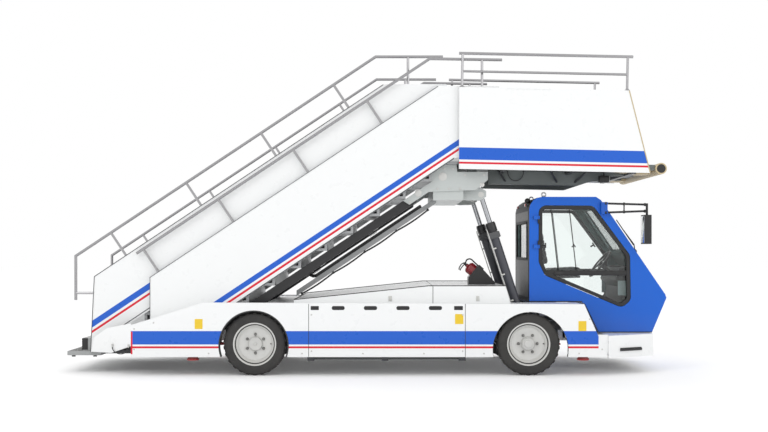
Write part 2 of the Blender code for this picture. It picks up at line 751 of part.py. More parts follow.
def platform_rail(side, sign):
    y = sign * (PLATFORM_PANEL_Y + PANEL_SHEET / 2)
    top, middle, rear, front = 3.668, 3.465, 1.050, 2.940
    made = on_platform(f"platform_rail_{side}", tube_run(((1.008, top), (3.000, top)), RAIL_TUBE, y), "steel")
    tubes = [bar((x, y, PLATFORM_TOP + GAP), (x, y, top), RAIL_TUBE - 0.002, 8) for x in (rear, front)]
    tubes.append(bar((rear, y, middle), (front, y, middle), RAIL_TUBE - 0.003, 8))
    return welded_on_platform(made, tubes)


def bumper_tube():
    place = across(BUMPER_TUBE_X, -0.950, BUMPER_TUBE_Z, 1)
    bore = BUMPER_TUBE_RADIUS - 0.015
    profile = ((BUMPER_TUBE_RADIUS, 0), (BUMPER_TUBE_RADIUS, 1.900), (bore, 1.900), (bore, 0))
    return on_platform("bumper_tube", turned(profile, place, 24), "beige")


# Cab


def offset(outline, distance):
    """The outline with every side moved outwards by a distance; it runs clockwise seen with Z up."""
    moved = []
    count = len(outline)
    for i in range(count):
        before, here, after = (Vector(outline[(i + k) % count]) for k in (-1, 0, 1))
        first, second = (here - before).normalized(), (after - here).normalized()
        normal = Vector((-first.y, first.x)) + Vector((-second.y, second.x))
        normal = normal / (1 + first.dot(second))
        moved.append(tuple(here + normal * distance))
    return moved


DOOR_OUTLINE = (
    (1.996, 1.279), (1.996, 1.940), (2.629, 1.936), (3.059, 1.358), (3.068, 0.834), (2.969, 0.748), (2.066, 1.127),
)
DOOR_GAP = 0.005
DOOR_HINGE = (1.990, CAB_HALF + 0.016)
HINGE_INSET = 0.010          # how far the hinge straps reach into the cab side
SCREEN_TOP = Vector((2.774, 1.930))
SCREEN_FOOT = Vector((3.122, 1.420))
SCREEN_HALF = CAB_HALF - 0.080
REAR_WINDOW = ((-0.450, 1.320), (0.450, 1.745))


def screen_outline(out, inward, edge):
    """A slab in the plane of the windscreen, between two depths, its ends moved in by an edge."""
    along = (SCREEN_FOOT - SCREEN_TOP).normalized()
    normal = Vector((-along.y, along.x))
    top, foot = SCREEN_TOP + along * edge, SCREEN_FOOT - along * edge
    return tuple(tuple(p) for p in (top + normal * out, foot + normal * out, foot - normal * inward, top - normal * inward))


def cab_shell():
    outer = [(CAB_REAR_X, CAB_FLOOR_Z)] + arc((CAB_REAR_X + 0.150, CAB_ROOF_Z - 0.150), 0.150, 180, 90, 4)
    outer += [
        (2.664, CAB_ROOF_Z), (2.722, 2.006), (3.476, 0.901), (CAB_NOSE_X, 0.860), (3.319, CAB_NOSE_BOTTOM), (2.703, CAB_NOSE_BOTTOM),
        (2.538, 0.787), (2.500, CAB_FLOOR_Z),
    ]
    made = make("cab_shell", prism(outer, -CAB_HALF, CAB_HALF), "blue")
    inner = prism(offset(outer, -CAB_WALL), -CAB_HALF + CAB_WALL, CAB_HALF - CAB_WALL)
    doors = prism(offset(DOOR_OUTLINE, DOOR_GAP), -0.8, 0.8)
    screen = prism(screen_outline(0.1, 0.1, 0), -SCREEN_HALF, SCREEN_HALF)
    (low_y, low_z), (high_y, high_z) = REAR_WINDOW
    window = block((CAB_REAR_X - 0.05, low_y, low_z), (CAB_REAR_X + 0.10, high_y, high_z))
    cut(made, inner, doors, screen, window)
    x, y = DOOR_HINGE
    lugs = []
    for sign in (-1, 1):
        near, far = sided(sign, CAB_HALF - HINGE_INSET, y + 0.008)
        for low, high in ((1.440, 1.480), (1.7805, 1.820)):
            lugs.append(bar((x, sign * y, low), (x, sign * y, high), 0.012, 12))
            lugs.append(block((x - 0.060, near, low), (x, far, high)))
    return welded(made, *lugs)


def windscreen():
    mesh = prism(screen_outline(-0.015, 0.021, GAP), -SCREEN_HALF + GAP, SCREEN_HALF - GAP)
    return make("windscreen", mesh, "glass")


def rear_window():
    (low_y, low_z), (high_y, high_z) = REAR_WINDOW
    x = CAB_REAR_X + CAB_WALL / 2
    return make("rear_window", block((x, low_y + GAP, low_z + GAP), (x + 0.006, high_y - GAP, high_z - GAP)), "glass")


def door(side, sign):
    x, y = DOOR_HINGE
    pivot = (x, sign * y, 0)
    ring = prism(DOOR_OUTLINE, *sided(sign, CAB_HALF - CAB_WALL, CAB_HALF))
    made = make(f"door_{side}", ring, "black", pivot)
    cut(made, prism(offset(DOOR_OUTLINE, -0.040), -0.8, 0.8))
    low, high = sided(sign, CAB_HALF - CAB_WALL + 0.002, CAB_HALF - 0.002)
    parts = [block((2.080, low, 1.122), (3.040, high, 1.176))]
    for low_z, high_z in ((1.480 + CHEEK, 1.530), (1.730, 1.780)):
        parts.append(bar((x, sign * y, low_z), (x, sign * y, high_z), 0.012, 12))
        near, far = sided(sign, CAB_HALF - HINGE_INSET, y + 0.008)
        strap = block((x + 0.008, near, low_z), (x + 0.030, far, high_z))
        parts.append(strap)
    return welded(made, *parts)


def door_glass(side, sign):
    inner = CAB_HALF - CAB_WALL - GAP
    mesh = prism(offset(DOOR_OUTLINE, -0.015), *sided(sign, inner - 0.007, inner))
    return make(f"door_glass_{side}", mesh, "glass", (DOOR_HINGE[0], sign * DOOR_HINGE[1], 0))


def seat():
    floor = CAB_FLOOR_Z + CAB_WALL + GAP
    outline = (
        (2.120, floor), (2.440, floor), (2.420, 1.080), (2.560, 1.110), (2.580, 1.190), (2.540, 1.215),
        (2.190, 1.195), (2.110, 1.640), (2.060, 1.700), (2.000, 1.690), (1.990, 1.620), (2.080, 1.110), (2.150, 1.080),
    )
    return make("seat", prism(outline, -0.240, 0.240), "black")


def dashboard():
    floor = CAB_NOSE_BOTTOM + CAB_WALL + GAP
    outline = (
        (3.020, floor), (3.260, floor), (3.390, 0.870), (3.190, 1.160), (3.090, 1.230), (2.980, 1.200),
        (2.940, 1.060), (3.000, 0.980),
    )
    made = make("dashboard", prism(outline, -0.450, 0.450), "grey")
    column_end = STEERING_CENTRE - STEERING_AXIS * (STEERING_HUB_BACK + GAP)
    return welded(made, bar((3.040, 0, 1.090), column_end, 0.025, 12))


def steering_wheel():
    place = Matrix.Translation(STEERING_CENTRE) @ STEERING_AXIS.to_track_quat("Z", "Y").to_matrix().to_4x4()
    tube, ring = 0.015, 0.190
    turns = (2 * math.pi * k / 6 for k in range(6))
    rim = turned([(ring + tube * math.cos(t), tube * math.sin(t)) for t in turns], place, 16)
    back = -STEERING_HUB_BACK
    hub = turned(((0, back), (0.045, back), (0.045, 0.020), (0, 0.020)), place, 12)
    made = make("steering_wheel", rim, "black")
    spokes = []
    for turn in (90, 210, 330):
        reach = place @ Vector((ring * math.cos(math.radians(turn)), ring * math.sin(math.radians(turn)), 0))
        spokes.append(bar(place @ Vector((0, 0, 0.002)), reach, 0.010, 8))
    return welded(made, hub, *spokes)


def mirror():
    """The right-hand mirror: a block on the pillar, two arms and the head."""
    side = -CAB_HALF - GAP
    made = make("mirror", block((2.715, side - 0.050, 1.842), (2.790, side, 1.980)), "black")
    near, far = side - 0.035, side - 0.160
    arms = [
        bar((2.750, near, 1.965), (3.220, far, 1.945), 0.012, 8),
        bar((2.750, near, 1.857), (3.220, far, 1.871), 0.012, 8),
        block((3.170, far - 0.090, 1.489), (3.252, far + 0.080, 1.825)),
        bar((3.220, far, 1.960), (3.220, far, 1.800), 0.014, 8),
    ]
    return welded(made, *arms)


def fire_extinguisher():
    start, end = Vector((1.115, -0.350, 1.285)), Vector((1.360, -0.350, 1.080))
    neck = start - (end - start).normalized() * 0.060
    made = make("fire_extinguisher", bar(start, end, 0.072, 20), "red")
    return welded(made, bar(neck, start + (end - start) * 0.1, 0.022, 12))


def extinguisher_holder():
    start, end = Vector((1.115, -0.350, 1.285)), Vector((1.360, -0.350, 1.080))
    base = 1.009 + GAP
    outline = ((1.185, base), (1.500, base), (1.500, 1.040), (1.360, 1.190), (1.300, 1.235), (1.185, 1.095))
    made = make("extinguisher_holder", prism(outline, -0.440, -0.260), "black")
    reach = (end - start).normalized()
    return cut(made, bar(start - reach * 0.10, end + reach * 0.001, 0.072 + CHEEK, 20))


def build():
    clear_scene()
    chassis_frame()
    rear_axle()
    front_axle()
    deck()
    engine_cover()
    engine_block()
    front_bumper()
    nose_carrier()
    rear_step()
    for side, sign in SIDES:
        side_cover(side, sign)
        rear_fairing(side, sign)
        knuckle(side, sign)
        wheel(f"wheel_front_{side}", FRONT_AXLE_X, sign)
        wheel(f"wheel_rear_{side}", REAR_AXLE_X, sign)
        stabiliser("front", side, sign)
        stabiliser("rear", side, sign)
        lower_panel(side, sign)
        lower_rail(side, sign)
        upper_panel(side, sign)
        upper_rail(side, sign)
        boom_beam(side, sign)
        lift_barrel(side, sign)
        lift_rod(side, sign)
        platform_panel(side, sign)
        platform_rail(side, sign)
        door(side, sign)
        door_glass(side, sign)
    lower_flight()
    upper_flight()
    lift_bracket()
    cable_tray()
    platform_floor()
    bumper_tube()
    cab_shell()
    windscreen()
    rear_window()
    seat()
    dashboard()
    steering_wheel()
    mirror()
    extinguisher_holder()
    fire_extinguisher()
    bpy.context.view_layer.update()


build()
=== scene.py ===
"""Self-propelled aircraft passenger stairs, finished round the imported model."""

import math
import random

import bmesh
import bpy
from mathutils import Matrix, Vector


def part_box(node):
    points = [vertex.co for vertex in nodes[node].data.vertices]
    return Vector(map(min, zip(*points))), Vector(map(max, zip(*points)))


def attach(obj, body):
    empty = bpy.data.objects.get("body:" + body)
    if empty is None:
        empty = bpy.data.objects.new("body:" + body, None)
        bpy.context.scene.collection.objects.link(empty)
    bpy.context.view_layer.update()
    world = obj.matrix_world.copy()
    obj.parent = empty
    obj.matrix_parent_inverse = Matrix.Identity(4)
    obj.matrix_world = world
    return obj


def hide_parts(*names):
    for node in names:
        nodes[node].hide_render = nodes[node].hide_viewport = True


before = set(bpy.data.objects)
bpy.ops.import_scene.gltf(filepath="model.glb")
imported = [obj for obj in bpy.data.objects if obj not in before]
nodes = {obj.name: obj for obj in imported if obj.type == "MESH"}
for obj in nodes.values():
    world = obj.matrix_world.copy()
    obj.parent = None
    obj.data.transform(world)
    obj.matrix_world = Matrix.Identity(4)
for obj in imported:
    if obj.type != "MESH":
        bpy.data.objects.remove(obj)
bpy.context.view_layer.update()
SIDES = (("right", -1), ("left", 1))


# Camera. A long lens stands square to the machine's right side at a little over wheel-top height.
# The lens is shifted so that the upright lines of the cab and the posts stay upright.
camera_data = bpy.data.cameras.new("camera")
camera_data.sensor_width = 36.0
camera_data.lens = 48.75
camera_data.shift_y = 0.0443
camera = bpy.data.objects.new("camera", camera_data)
camera.location = (0.179, -12.83, 1.42)
camera.rotation_euler = (math.radians(90), 0, 0)
bpy.context.scene.collection.objects.link(camera)
bpy.context.scene.camera = camera


# Floor and light. A pale studio floor meets a pale surround with no horizon line.
# One wide lamp above and two at the sides keep the shadows soft and short under the wheels.
def staged(name, corners, colour):
    mesh = bpy.data.meshes.new(name)
    mesh.from_pydata(corners, [], [tuple(range(len(corners)))])
    made = bpy.data.objects.new(name, mesh)
    bpy.context.scene.collection.objects.link(made)
    look = bpy.data.materials.new(name)
    look.use_nodes = True
    shader = look.node_tree.nodes["Principled BSDF"]
    shader.inputs["Base Color"].default_value = (*colour, 1)
    shader.inputs["Roughness"].default_value = 0.9
    shader.inputs["Specular IOR Level"].default_value = 0.1
    shader.inputs["Emission Color"].default_value = (1, 1, 1, 1)
    shader.inputs["Emission Strength"].default_value = 0.07
    made.data.materials.append(look)
    return made


reach = 60.0
staged("floor", [(-reach, -reach, 0), (reach, -reach, 0), (reach, reach, 0), (-reach, reach, 0)], (0.95, 0.95, 0.95))

world = bpy.data.worlds.new("surround")
bpy.context.scene.world = world
world.use_nodes = True
world.node_tree.nodes["Background"].inputs["Color"].default_value = (1.0, 1.0, 1.0, 1)
world.node_tree.nodes["Background"].inputs["Strength"].default_value = 1.0

for name, place, aim, size, watts in (
    ("key_lamp", (-5.0, -8.5, 8.5), (0, 0, 1.5), 6.0, 170),
    ("fill_lamp", (7.5, -7.0, 4.5), (1, 0, 1.2), 5.0, 70),
    ("back_lamp", (0.0, 8.0, 8.0), (0, 0, 1.5), 6.0, 110),
):
    lamp = bpy.data.lights.new(name, "AREA")
    lamp.size = size
    lamp.energy = watts
    made = bpy.data.objects.new(name, lamp)
    made.location = place
    made.rotation_euler = (Vector(aim) - Vector(place)).to_track_quat("-Z", "Y").to_euler()
    bpy.context.scene.collection.objects.link(made)
bpy.context.scene.view_settings.view_transform = "Standard"


# Chassis frame, axles and nose carrier. Welded box rails, cross beams and leaf springs in dark grey paint,
# dulled by road dust that settles on the upper faces and low down.
class Value:
    """A number socket that takes part in ordinary arithmetic; each operation adds its Math node."""

    def __init__(self, look, socket):
        self.look = look
        self.socket = socket

    def _math(self, operation, *others):
        node = self.look.tree.nodes.new("ShaderNodeMath")
        node.operation = operation
        for socket, value in zip(node.inputs, others):
            self.look.feed(socket, value)
        return Value(self.look, node.outputs[0])

    def __add__(self, other):
        return self._math("ADD", self, other)

    def __sub__(self, other):
        return self._math("SUBTRACT", self, other)

    def __rsub__(self, other):
        return self._math("SUBTRACT", other, self)

    def __mul__(self, other):
        return self._math("MULTIPLY", self, other)

    def __neg__(self):
        return self * -1.0

    def __gt__(self, other):
        return self._math("GREATER_THAN", self, other)

    def __lt__(self, other):
        return self._math("LESS_THAN", self, other)

    def __abs__(self):
        return self._math("ABSOLUTE", self)

    def __mod__(self, other):
        return self._math("FLOORED_MODULO", self, other)

    def least(self, other):
        return self._math("MINIMUM", self, other)

    def most(self, other):
        return self._math("MAXIMUM", self, other)

    def ramp(self, low, high):
        """0 at low, 1 at high, smooth between."""
        node = self.look.tree.nodes.new("ShaderNodeMapRange")
        node.interpolation_type = "SMOOTHSTEP"
        for name, value in (("Value", self), ("From Min", low), ("From Max", high)):
            self.look.feed(node.inputs[name], value)
        return Value(self.look, node.outputs[0])

    __radd__ = __add__
    __rmul__ = __mul__


class Look:
    """A named procedural finish, built on one Principled shader."""

    def __init__(self, name, **fixed):
        self.material = bpy.data.materials.new(name)
        self.material.use_nodes = True
        self.tree = self.material.node_tree
        self.shader = self.tree.nodes["Principled BSDF"]
        for key, value in fixed.items():
            self.shader.inputs[key.replace("_", " ")].default_value = value
        place = self.node("TexCoord")
        self.place = place["Object"]
        split = self.node("SeparateXYZ", Vector=self.place)
        self.x, self.y, self.z = (Value(self, split[axis]) for axis in "XYZ")
        geometry = self.node("NewGeometry")
        facing = self.node("SeparateXYZ", Vector=geometry["Normal"])
        self.up = Value(self, facing["Z"])
        self.outward = Value(self, facing["Y"])
        self.ahead = Value(self, facing["X"])

    def feed(self, socket, value):
        if isinstance(value, Value):
            value = value.socket
        if isinstance(value, bpy.types.NodeSocket):
            self.tree.links.new(value, socket)
        elif isinstance(value, tuple) and len(value) == 3 and len(socket.default_value) == 4:
            socket.default_value = (*value, 1)
        else:
            socket.default_value = value

    def node(self, kind, settings=None, **inputs):
        made = self.tree.nodes.new("ShaderNode" + kind)
        for key, value in (settings or {}).items():
            setattr(made, key, value)
        for key, value in inputs.items():
            self.feed(made.inputs[key.replace("_", " ")], value)
        return made.outputs

    def noise(self, scale, detail=3.0, roughness=0.55, stretch=(1, 1, 1)):
        place = self.node("Mapping", Vector=self.place, Scale=stretch)["Vector"]
        out = self.node("TexNoise", Vector=place, Scale=scale, Detail=detail, Roughness=roughness)
        return Value(self, out["Fac"])

    def mix(self, factor, low, high):
        made = self.tree.nodes.new("ShaderNodeMix")
        made.data_type = "RGBA"
        self.feed(made.inputs[0], factor)
        self.feed(made.inputs[6], low)
        self.feed(made.inputs[7], high)
        return made.outputs[2]

    def bump(self, height, distance, strength=1.0):
        made = self.node("Bump", Height=height, Distance=distance, Strength=strength)
        self.feed(self.shader.inputs["Normal"], made["Normal"])

    def finish(self, colour=None, roughness=None, metallic=None):
        for name, value in (("Base Color", colour), ("Roughness", roughness), ("Metallic", metallic)):
            if value is not None:
                self.feed(self.shader.inputs[name], value)
        return self.material


def dress(material, *names):
    """Gives a finish to the model's own pieces."""
    for name in names:
        data = nodes[name].data
        data.materials.clear()
        data.materials.append(material)


def coat(name, colour, dust=(0.30, 0.28, 0.25), amount=0.35, gloss=0.35):
    """Painted steel with fine orange peel, a little dust on upper faces and scuffs in the gloss."""
    look = Look(name, Coat_Weight=0.15)
    grime = look.noise(2.2, 6.0, 0.65) * look.up.ramp(-0.2, 1.0) * amount
    shade = look.mix(grime, colour, dust)
    look.bump(look.noise(420.0, 2.0), 0.0004, 0.25)
    return look.finish(shade, look.noise(7.0, 4.0) * 0.20 + gloss)


frame_paint = coat("frame_paint", (0.030, 0.032, 0.036))
dress(frame_paint, "chassis_frame", "rear_axle", "front_axle", "nose_carrier", "knuckle_right", "knuckle_left")
cast_iron = coat("cast_iron", (0.075, 0.078, 0.082), amount=0.6, gloss=0.55)
dress(cast_iron, "engine_block")


# Side covers. Folded white panels with a broad blue band and a narrow red one, cut to the wheel arches.
# Rubber strips close the door joints, vents with black louvres run under the top edge.
def band(value, low, high, soft=0.0008):
    """1 between two heights, with a crisp painted edge."""
    return value.ramp(low - soft, low + soft) - value.ramp(high - soft, high + soft)


white = (0.84, 0.85, 0.85)
stripe_blue = (0.008, 0.105, 0.56)
stripe_red = (0.66, 0.010, 0.030)


def enamel(name, stripes, outside=None, colour=white):
    """White gloss enamel with its stripes, road film low down and a soft unevenness in the gloss."""
    look = Look(name, Coat_Weight=0.12, Coat_Roughness=0.12, Specular_IOR_Level=0.35)
    film = look.noise(1.3, 6.0, 0.62) * (1.0 - look.z.ramp(0.15, 0.60)) * 0.08
    shade = look.mix(film, colour, (0.42, 0.40, 0.36))
    shade = look.mix(look.noise(0.9, 3.0) * 0.05, shade, (0.66, 0.69, 0.72))
    for mask, paint_colour in stripes(look):
        on_face = mask * outside(look) if outside else mask
        shade = look.mix(on_face, shade, paint_colour)
    look.bump(look.noise(300.0, 2.0) + look.noise(5.0, 2.0) * 4.0, 0.0005, 0.12)
    return look.finish(shade, look.noise(9.0, 4.0) * 0.14 + 0.22)


def cover_stripes(look):
    yield band(look.z, 0.354, 0.506) * (look.x < 2.600), stripe_blue
    yield band(look.z, 0.311, 0.334) * (look.x < 2.600), stripe_red
    yield (look.x < -2.658) * band(look.z, 0.245, 0.50), stripe_red


def outer_side(look):
    return look.outward * look.y > 0.35


cover_enamel = enamel("cover_enamel", cover_stripes, outer_side)
dress(cover_enamel, "side_cover_right", "side_cover_left")


def put(name, bm, material, body, smooth=None):
    """Makes a mesh a piece of the machine: closed, facing outwards, riding on its body."""
    bmesh.ops.remove_doubles(bm, verts=bm.verts, dist=1e-6)
    bmesh.ops.recalc_face_normals(bm, faces=bm.faces)
    mesh = bpy.data.meshes.new(name)
    bm.to_mesh(mesh)
    bm.free()
    made = bpy.data.objects.new(name, mesh)
    bpy.context.scene.collection.objects.link(made)
    mesh.materials.append(material)
    if smooth is not None:
        mesh.shade_smooth()
        mesh.set_sharp_from_angle(angle=math.radians(smooth))
    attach(made, body)
    return made


def slab(bm, outline, low, high, plane="xz", bevel=0.0, segments=2):
    """A flat outline given thickness across its plane, with its long edges rounded."""
    order = {"xz": lambda a, b, c: (a, c, b), "xy": lambda a, b, c: (a, b, c), "yz": lambda a, b, c: (c, a, b)}[plane]
    part = bmesh.new()
    rings = [[part.verts.new(order(a, b, depth)) for a, b in outline] for depth in (low, high)]
    count = len(outline)
    part.faces.new(rings[0])
    part.faces.new(rings[1][::-1])
    for i in range(count):
        j = (i + 1) % count
        part.faces.new((rings[0][j], rings[0][i], rings[1][i], rings[1][j]))
    bmesh.ops.recalc_face_normals(part, faces=part.faces)
    if bevel:
        bmesh.ops.bevel(part, geom=part.edges[:], offset=bevel, segments=segments, profile=0.5, affect="EDGES", clamp_overlap=True)
    merge(bm, part)


def merge(bm, part, place=None):
    """Moves a part's mesh into another mesh."""
    if place is not None:
        part.transform(place)
    made = bpy.data.meshes.new("part")
    part.to_mesh(made)
    part.free()
    bm.from_mesh(made)
    bpy.data.meshes.remove(made)


def brick(bm, low, high, bevel=0.0, segments=2, place=None):
    """A box between two corners, with rounded edges."""
    part = bmesh.new()
    slab(part, ((low[0], low[1]), (high[0], low[1]), (high[0], high[1]), (low[0], high[1])), low[2], high[2], "xy", bevel, segments)
    merge(bm, part, place)


def lathe(bm, profile, place, segments=48):
    """A profile of (radius, height) turned about Z and placed; a closed loop, or one that ends on the axis."""
    part = bmesh.new()
    rings = []
    for radius, height in profile:
        if radius < 1e-7:
            rings.append([part.verts.new((0, 0, height))])
            continue
        turns = [2 * math.pi * k / segments for k in range(segments)]
        rings.append([part.verts.new((radius * math.cos(t), radius * math.sin(t), height)) for t in turns])
    on_axis = len(rings[0]) == 1
    for first, second in zip(rings, rings[1:] if on_axis else rings[1:] + rings[:1]):
        for k in range(segments):
            j = (k + 1) % segments
            corners = [first[k % len(first)], first[j % len(first)], second[j % len(second)], second[k % len(second)]]
            corners = [c for i, c in enumerate(corners) if c not in corners[:i]]
            if len(corners) > 2:
                part.faces.new(corners)
    bmesh.ops.recalc_face_normals(part, faces=part.faces)
    merge(bm, part, place)


def rounded(low, high, radius, steps=5):
    """A rectangle with round corners, as an outline."""
    outline = []
    for cx, cy, start in (
        (high[0] - radius, high[1] - radius, 0), (low[0] + radius, high[1] - radius, 90),
        (low[0] + radius, low[1] + radius, 180), (high[0] - radius, low[1] + radius, 270),
    ):
        for k in range(steps + 1):
            t = math.radians(start + 90 * k / steps)
            outline.append((cx + radius * math.cos(t), cy + radius * math.sin(t)))
    return outline


def both(sign, near, far):
    """Two distances from the middle as an ordered pair on one side of the machine."""
    return tuple(sorted((sign * near, sign * far)))


def plastic(name, colour, roughness=0.5, grain=900.0, **fixed):
    """Moulded plastic or rubber with a fine grain and a little dust."""
    look = Look(name, **fixed)
    shade = look.mix(look.noise(6.0, 5.0) * look.up.ramp(-0.3, 1.0) * 0.30, colour, (0.20, 0.19, 0.175))
    look.bump(look.noise(grain, 2.0), 0.0004, 0.5)
    return look.finish(shade, look.noise(24.0, 3.0) * 0.16 + roughness - 0.08)


rubber = plastic("trim_rubber", (0.016, 0.016, 0.017), 0.62)
vent_black = plastic("vent_black", (0.010, 0.010, 0.011), 0.42)
plate_yellow = plastic("plate_yellow", (0.80, 0.55, 0.02), 0.35, 200.0)
cover_face = 1.10
vents = ((-0.648, -0.556, 0.004), (-0.410, -0.265, 0.020), (-0.048, 0.101, 0.020))
vents += ((0.319, 0.467, 0.020), (0.685, 0.833, 0.020), (0.970, 1.069, 0.004))
plates = ((-1.957, -1.867, 0.529, 0.642), (0.980, 1.0745, 0.585, 0.698), (2.372, 2.462, 0.506, 0.619))
for side, sign in SIDES:
    seams = bmesh.new()
    for x in (-0.671, 1.096):
        brick(seams, (x - 0.003, *both(sign, cover_face - 0.002, cover_face + 0.0008)[:1], 0.216), (x + 0.003, both(sign, cover_face - 0.002, cover_face + 0.0008)[1], 0.812), 0.0004, 1)
    put(f"door_seams_{side}", seams, rubber, "chassis")

    louvres = bmesh.new()
    for low, high, corner in vents:
        near, far = both(sign, cover_face - 0.002, cover_face + 0.0015)
        slab(louvres, rounded((low, 0.743), (high, 0.788), corner), near, far, "xz", 0.0006, 1)
        for k in range(3):
            z = 0.755 + 0.0105 * k
            near, far = both(sign, cover_face, cover_face + 0.0030)
            brick(louvres, (low + 0.012, near, z - 0.0022), (high - 0.012, far, z + 0.0022), 0.0008, 1)
    put(f"vents_{side}", louvres, vent_black, "chassis")

    signs = bmesh.new()
    for low, high, bottom, top in plates:
        near, far = both(sign, cover_face - 0.001, cover_face + 0.0008)
        slab(signs, rounded((low, bottom), (high, top), 0.006), near, far, "xz")
    put(f"blank_plates_{side}", signs, plate_yellow, "chassis")

    guard = bmesh.new()
    near, far = both(sign, 1.020, 1.045)
    brick(guard, (-0.690, near, 0.180), (1.104, far, 0.204), 0.004)
    for x in (-0.690, 0.150, 1.024):
        near, far = both(sign, 1.010, 1.060)
        brick(guard, (x, near, 0.165), (x + 0.080, far, 0.2125), 0.004)
        near, far = both(sign, 1.020, 1.040)
        brick(guard, (x + 0.030, near, 0.205), (x + 0.050, far, 0.480), 0.002)
    put(f"lower_guard_{side}", guard, frame_paint, "chassis", 30)


# Screws in the side covers. Zinc dome heads along the lower hem and at the corners of the doors,
# spread from one turned unit by a point tree.
def point_tree(name):
    """A node group that sets one unit on every point of a mesh, turned as the points say."""
    tree = bpy.data.node_groups.new(name, "GeometryNodeTree")
    for label, kind in (("Points", "NodeSocketGeometry"), ("Unit", "NodeSocketObject"), ("Size", "NodeSocketFloat"), ("Finish", "NodeSocketMaterial")):
        tree.interface.new_socket(label, in_out="INPUT", socket_type=kind)
    tree.interface.new_socket("Pieces", in_out="OUTPUT", socket_type="NodeSocketGeometry")
    start, end = tree.nodes.new("NodeGroupInput"), tree.nodes.new("NodeGroupOutput")
    unit, turn = tree.nodes.new("GeometryNodeObjectInfo"), tree.nodes.new("GeometryNodeInputNamedAttribute")
    turn.data_type = "FLOAT_VECTOR"
    turn.inputs["Name"].default_value = "turn"
    rotate, spread = tree.nodes.new("FunctionNodeEulerToRotation"), tree.nodes.new("GeometryNodeInstanceOnPoints")
    real, paint = tree.nodes.new("GeometryNodeRealizeInstances"), tree.nodes.new("GeometryNodeSetMaterial")
    for a, b in (
        (start.outputs["Points"], spread.inputs["Points"]), (start.outputs["Unit"], unit.inputs["Object"]),
        (unit.outputs["Geometry"], spread.inputs["Instance"]), (turn.outputs["Attribute"], rotate.inputs[0]),
        (rotate.outputs[0], spread.inputs["Rotation"]), (start.outputs["Size"], spread.inputs["Scale"]),
        (spread.outputs[0], real.inputs[0]), (real.outputs[0], paint.inputs["Geometry"]),
        (start.outputs["Finish"], paint.inputs["Material"]), (paint.outputs[0], end.inputs[0]),
    ):
        tree.links.new(a, b)
    return tree


spread_tree = point_tree("unit_on_points")


def repeat(name, unit, places, material, body, size=1.0, smooth=40):
    """Copies of one unit mesh at (point, turn) places, made one plain piece."""
    unit_mesh = bpy.data.meshes.new(name + "_unit")
    bmesh.ops.recalc_face_normals(unit, faces=unit.faces)
    unit.to_mesh(unit_mesh)
    unit.free()
    unit_object = bpy.data.objects.new(name + "_unit", unit_mesh)
    bpy.context.scene.collection.objects.link(unit_object)
    points = bpy.data.meshes.new(name)
    points.from_pydata([tuple(p) for p, _ in places], [], [])
    turn = points.attributes.new("turn", "FLOAT_VECTOR", "POINT")
    turn.data.foreach_set("vector", [c for _, t in places for c in t])
    made = bpy.data.objects.new(name, points)
    bpy.context.scene.collection.objects.link(made)
    modifier = made.modifiers.new("spread", "NODES")
    modifier.node_group = spread_tree
    wanted = {"Unit": unit_object, "Size": size, "Finish": material}
    for item in spread_tree.interface.items_tree:
        if item.in_out == "INPUT" and item.name in wanted:
            modifier[item.identifier] = wanted[item.name]
    evaluated = made.evaluated_get(bpy.context.evaluated_depsgraph_get())
    mesh = bpy.data.meshes.new_from_object(evaluated)
    made.modifiers.remove(modifier)
    made.data = mesh
    bpy.data.meshes.remove(points)
    bpy.data.objects.remove(unit_object)
    mesh.shade_smooth()
    mesh.set_sharp_from_angle(angle=math.radians(smooth))
    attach(made, body)
    return made


def facing(sign):
    """The turn that sends a unit's +Z out of the machine's side."""
    return (math.radians(-90 * sign), 0, 0)


def steel(name, colour, roughness, stretch=(1, 1, 1), **fixed):
    """Bare or plated steel with fine drawn lines and small variations in polish."""
    look = Look(name, Metallic=1.0, **fixed)
    lines = look.noise(180.0, 2.0, 0.5, stretch)
    shade = look.mix(look.noise(3.5, 4.0) * 0.35, colour, tuple(c * 0.72 for c in colour))
    look.bump(lines, 0.0003, 0.15)
    return look.finish(shade, lines * 0.14 + roughness)


zinc = steel("zinc_plate", (0.62, 0.62, 0.60), 0.30)
for side, sign in SIDES:
    screw = bmesh.new()
    lathe(screw, ((0, -0.002), (0.010, -0.002), (0.010, 0.0005), (0.008, 0.0028), (0.004, 0.0040), (0, 0.0043)), Matrix(), 14)
    spots = [(x, 0.2526) for x in (-1.800, -0.746, -0.0579, 0.630, 1.307, 2.380)]
    spots += [(x, z) for x in (-0.640, 1.066) for z in (0.280, 0.690)]
    spots += [(-2.640, 0.300), (-2.640, 0.530), (-2.420, 0.600), (2.500, 0.640), (2.640, 0.300)]
    places = [(Vector((x, sign * cover_face, z)), facing(sign)) for x, z in spots]
    repeat(f"cover_screws_{side}", screw, places, zinc, "chassis")


# Arch trims and wheel wells. A rubber lip follows each arch, and a plain black well closes it behind.
# The front wells stand wide enough for the steered wheels.
def arch_path(centre, radius, start, end, steps=40):
    return [
        (centre[0] + radius * math.cos(math.radians(start + (end - start) * k / steps)),
         centre[1] + radius * math.sin(math.radians(start + (end - start) * k / steps)))
        for k in range(steps + 1)
    ]


arches = (
    ("rear", (-1.292, 0.341), 0.396, 198.9, 0.014, 0.420, 1.052),
    ("front", (1.833, 0.294), 0.426, 191.0, 0.002, 0.482, 1.066),
)
for side, sign in SIDES:
    for place, centre, radius, start, lip, well, back in arches:
        trim = bmesh.new()
        outline = arch_path(centre, radius + 0.001, start, 180 - start)
        outline += arch_path(centre, radius - lip, 180 - start, start)
        slab(trim, outline, *both(sign, back, 1.1015))
        hood = arch_path(centre, well, 184, -4)
        hood += arch_path(centre, well - 0.006, -4, 184)
        slab(trim, hood, *both(sign, 0.890, 1.058))
        put(f"arch_trim_{place}_{side}", trim, rubber, "chassis", 35)


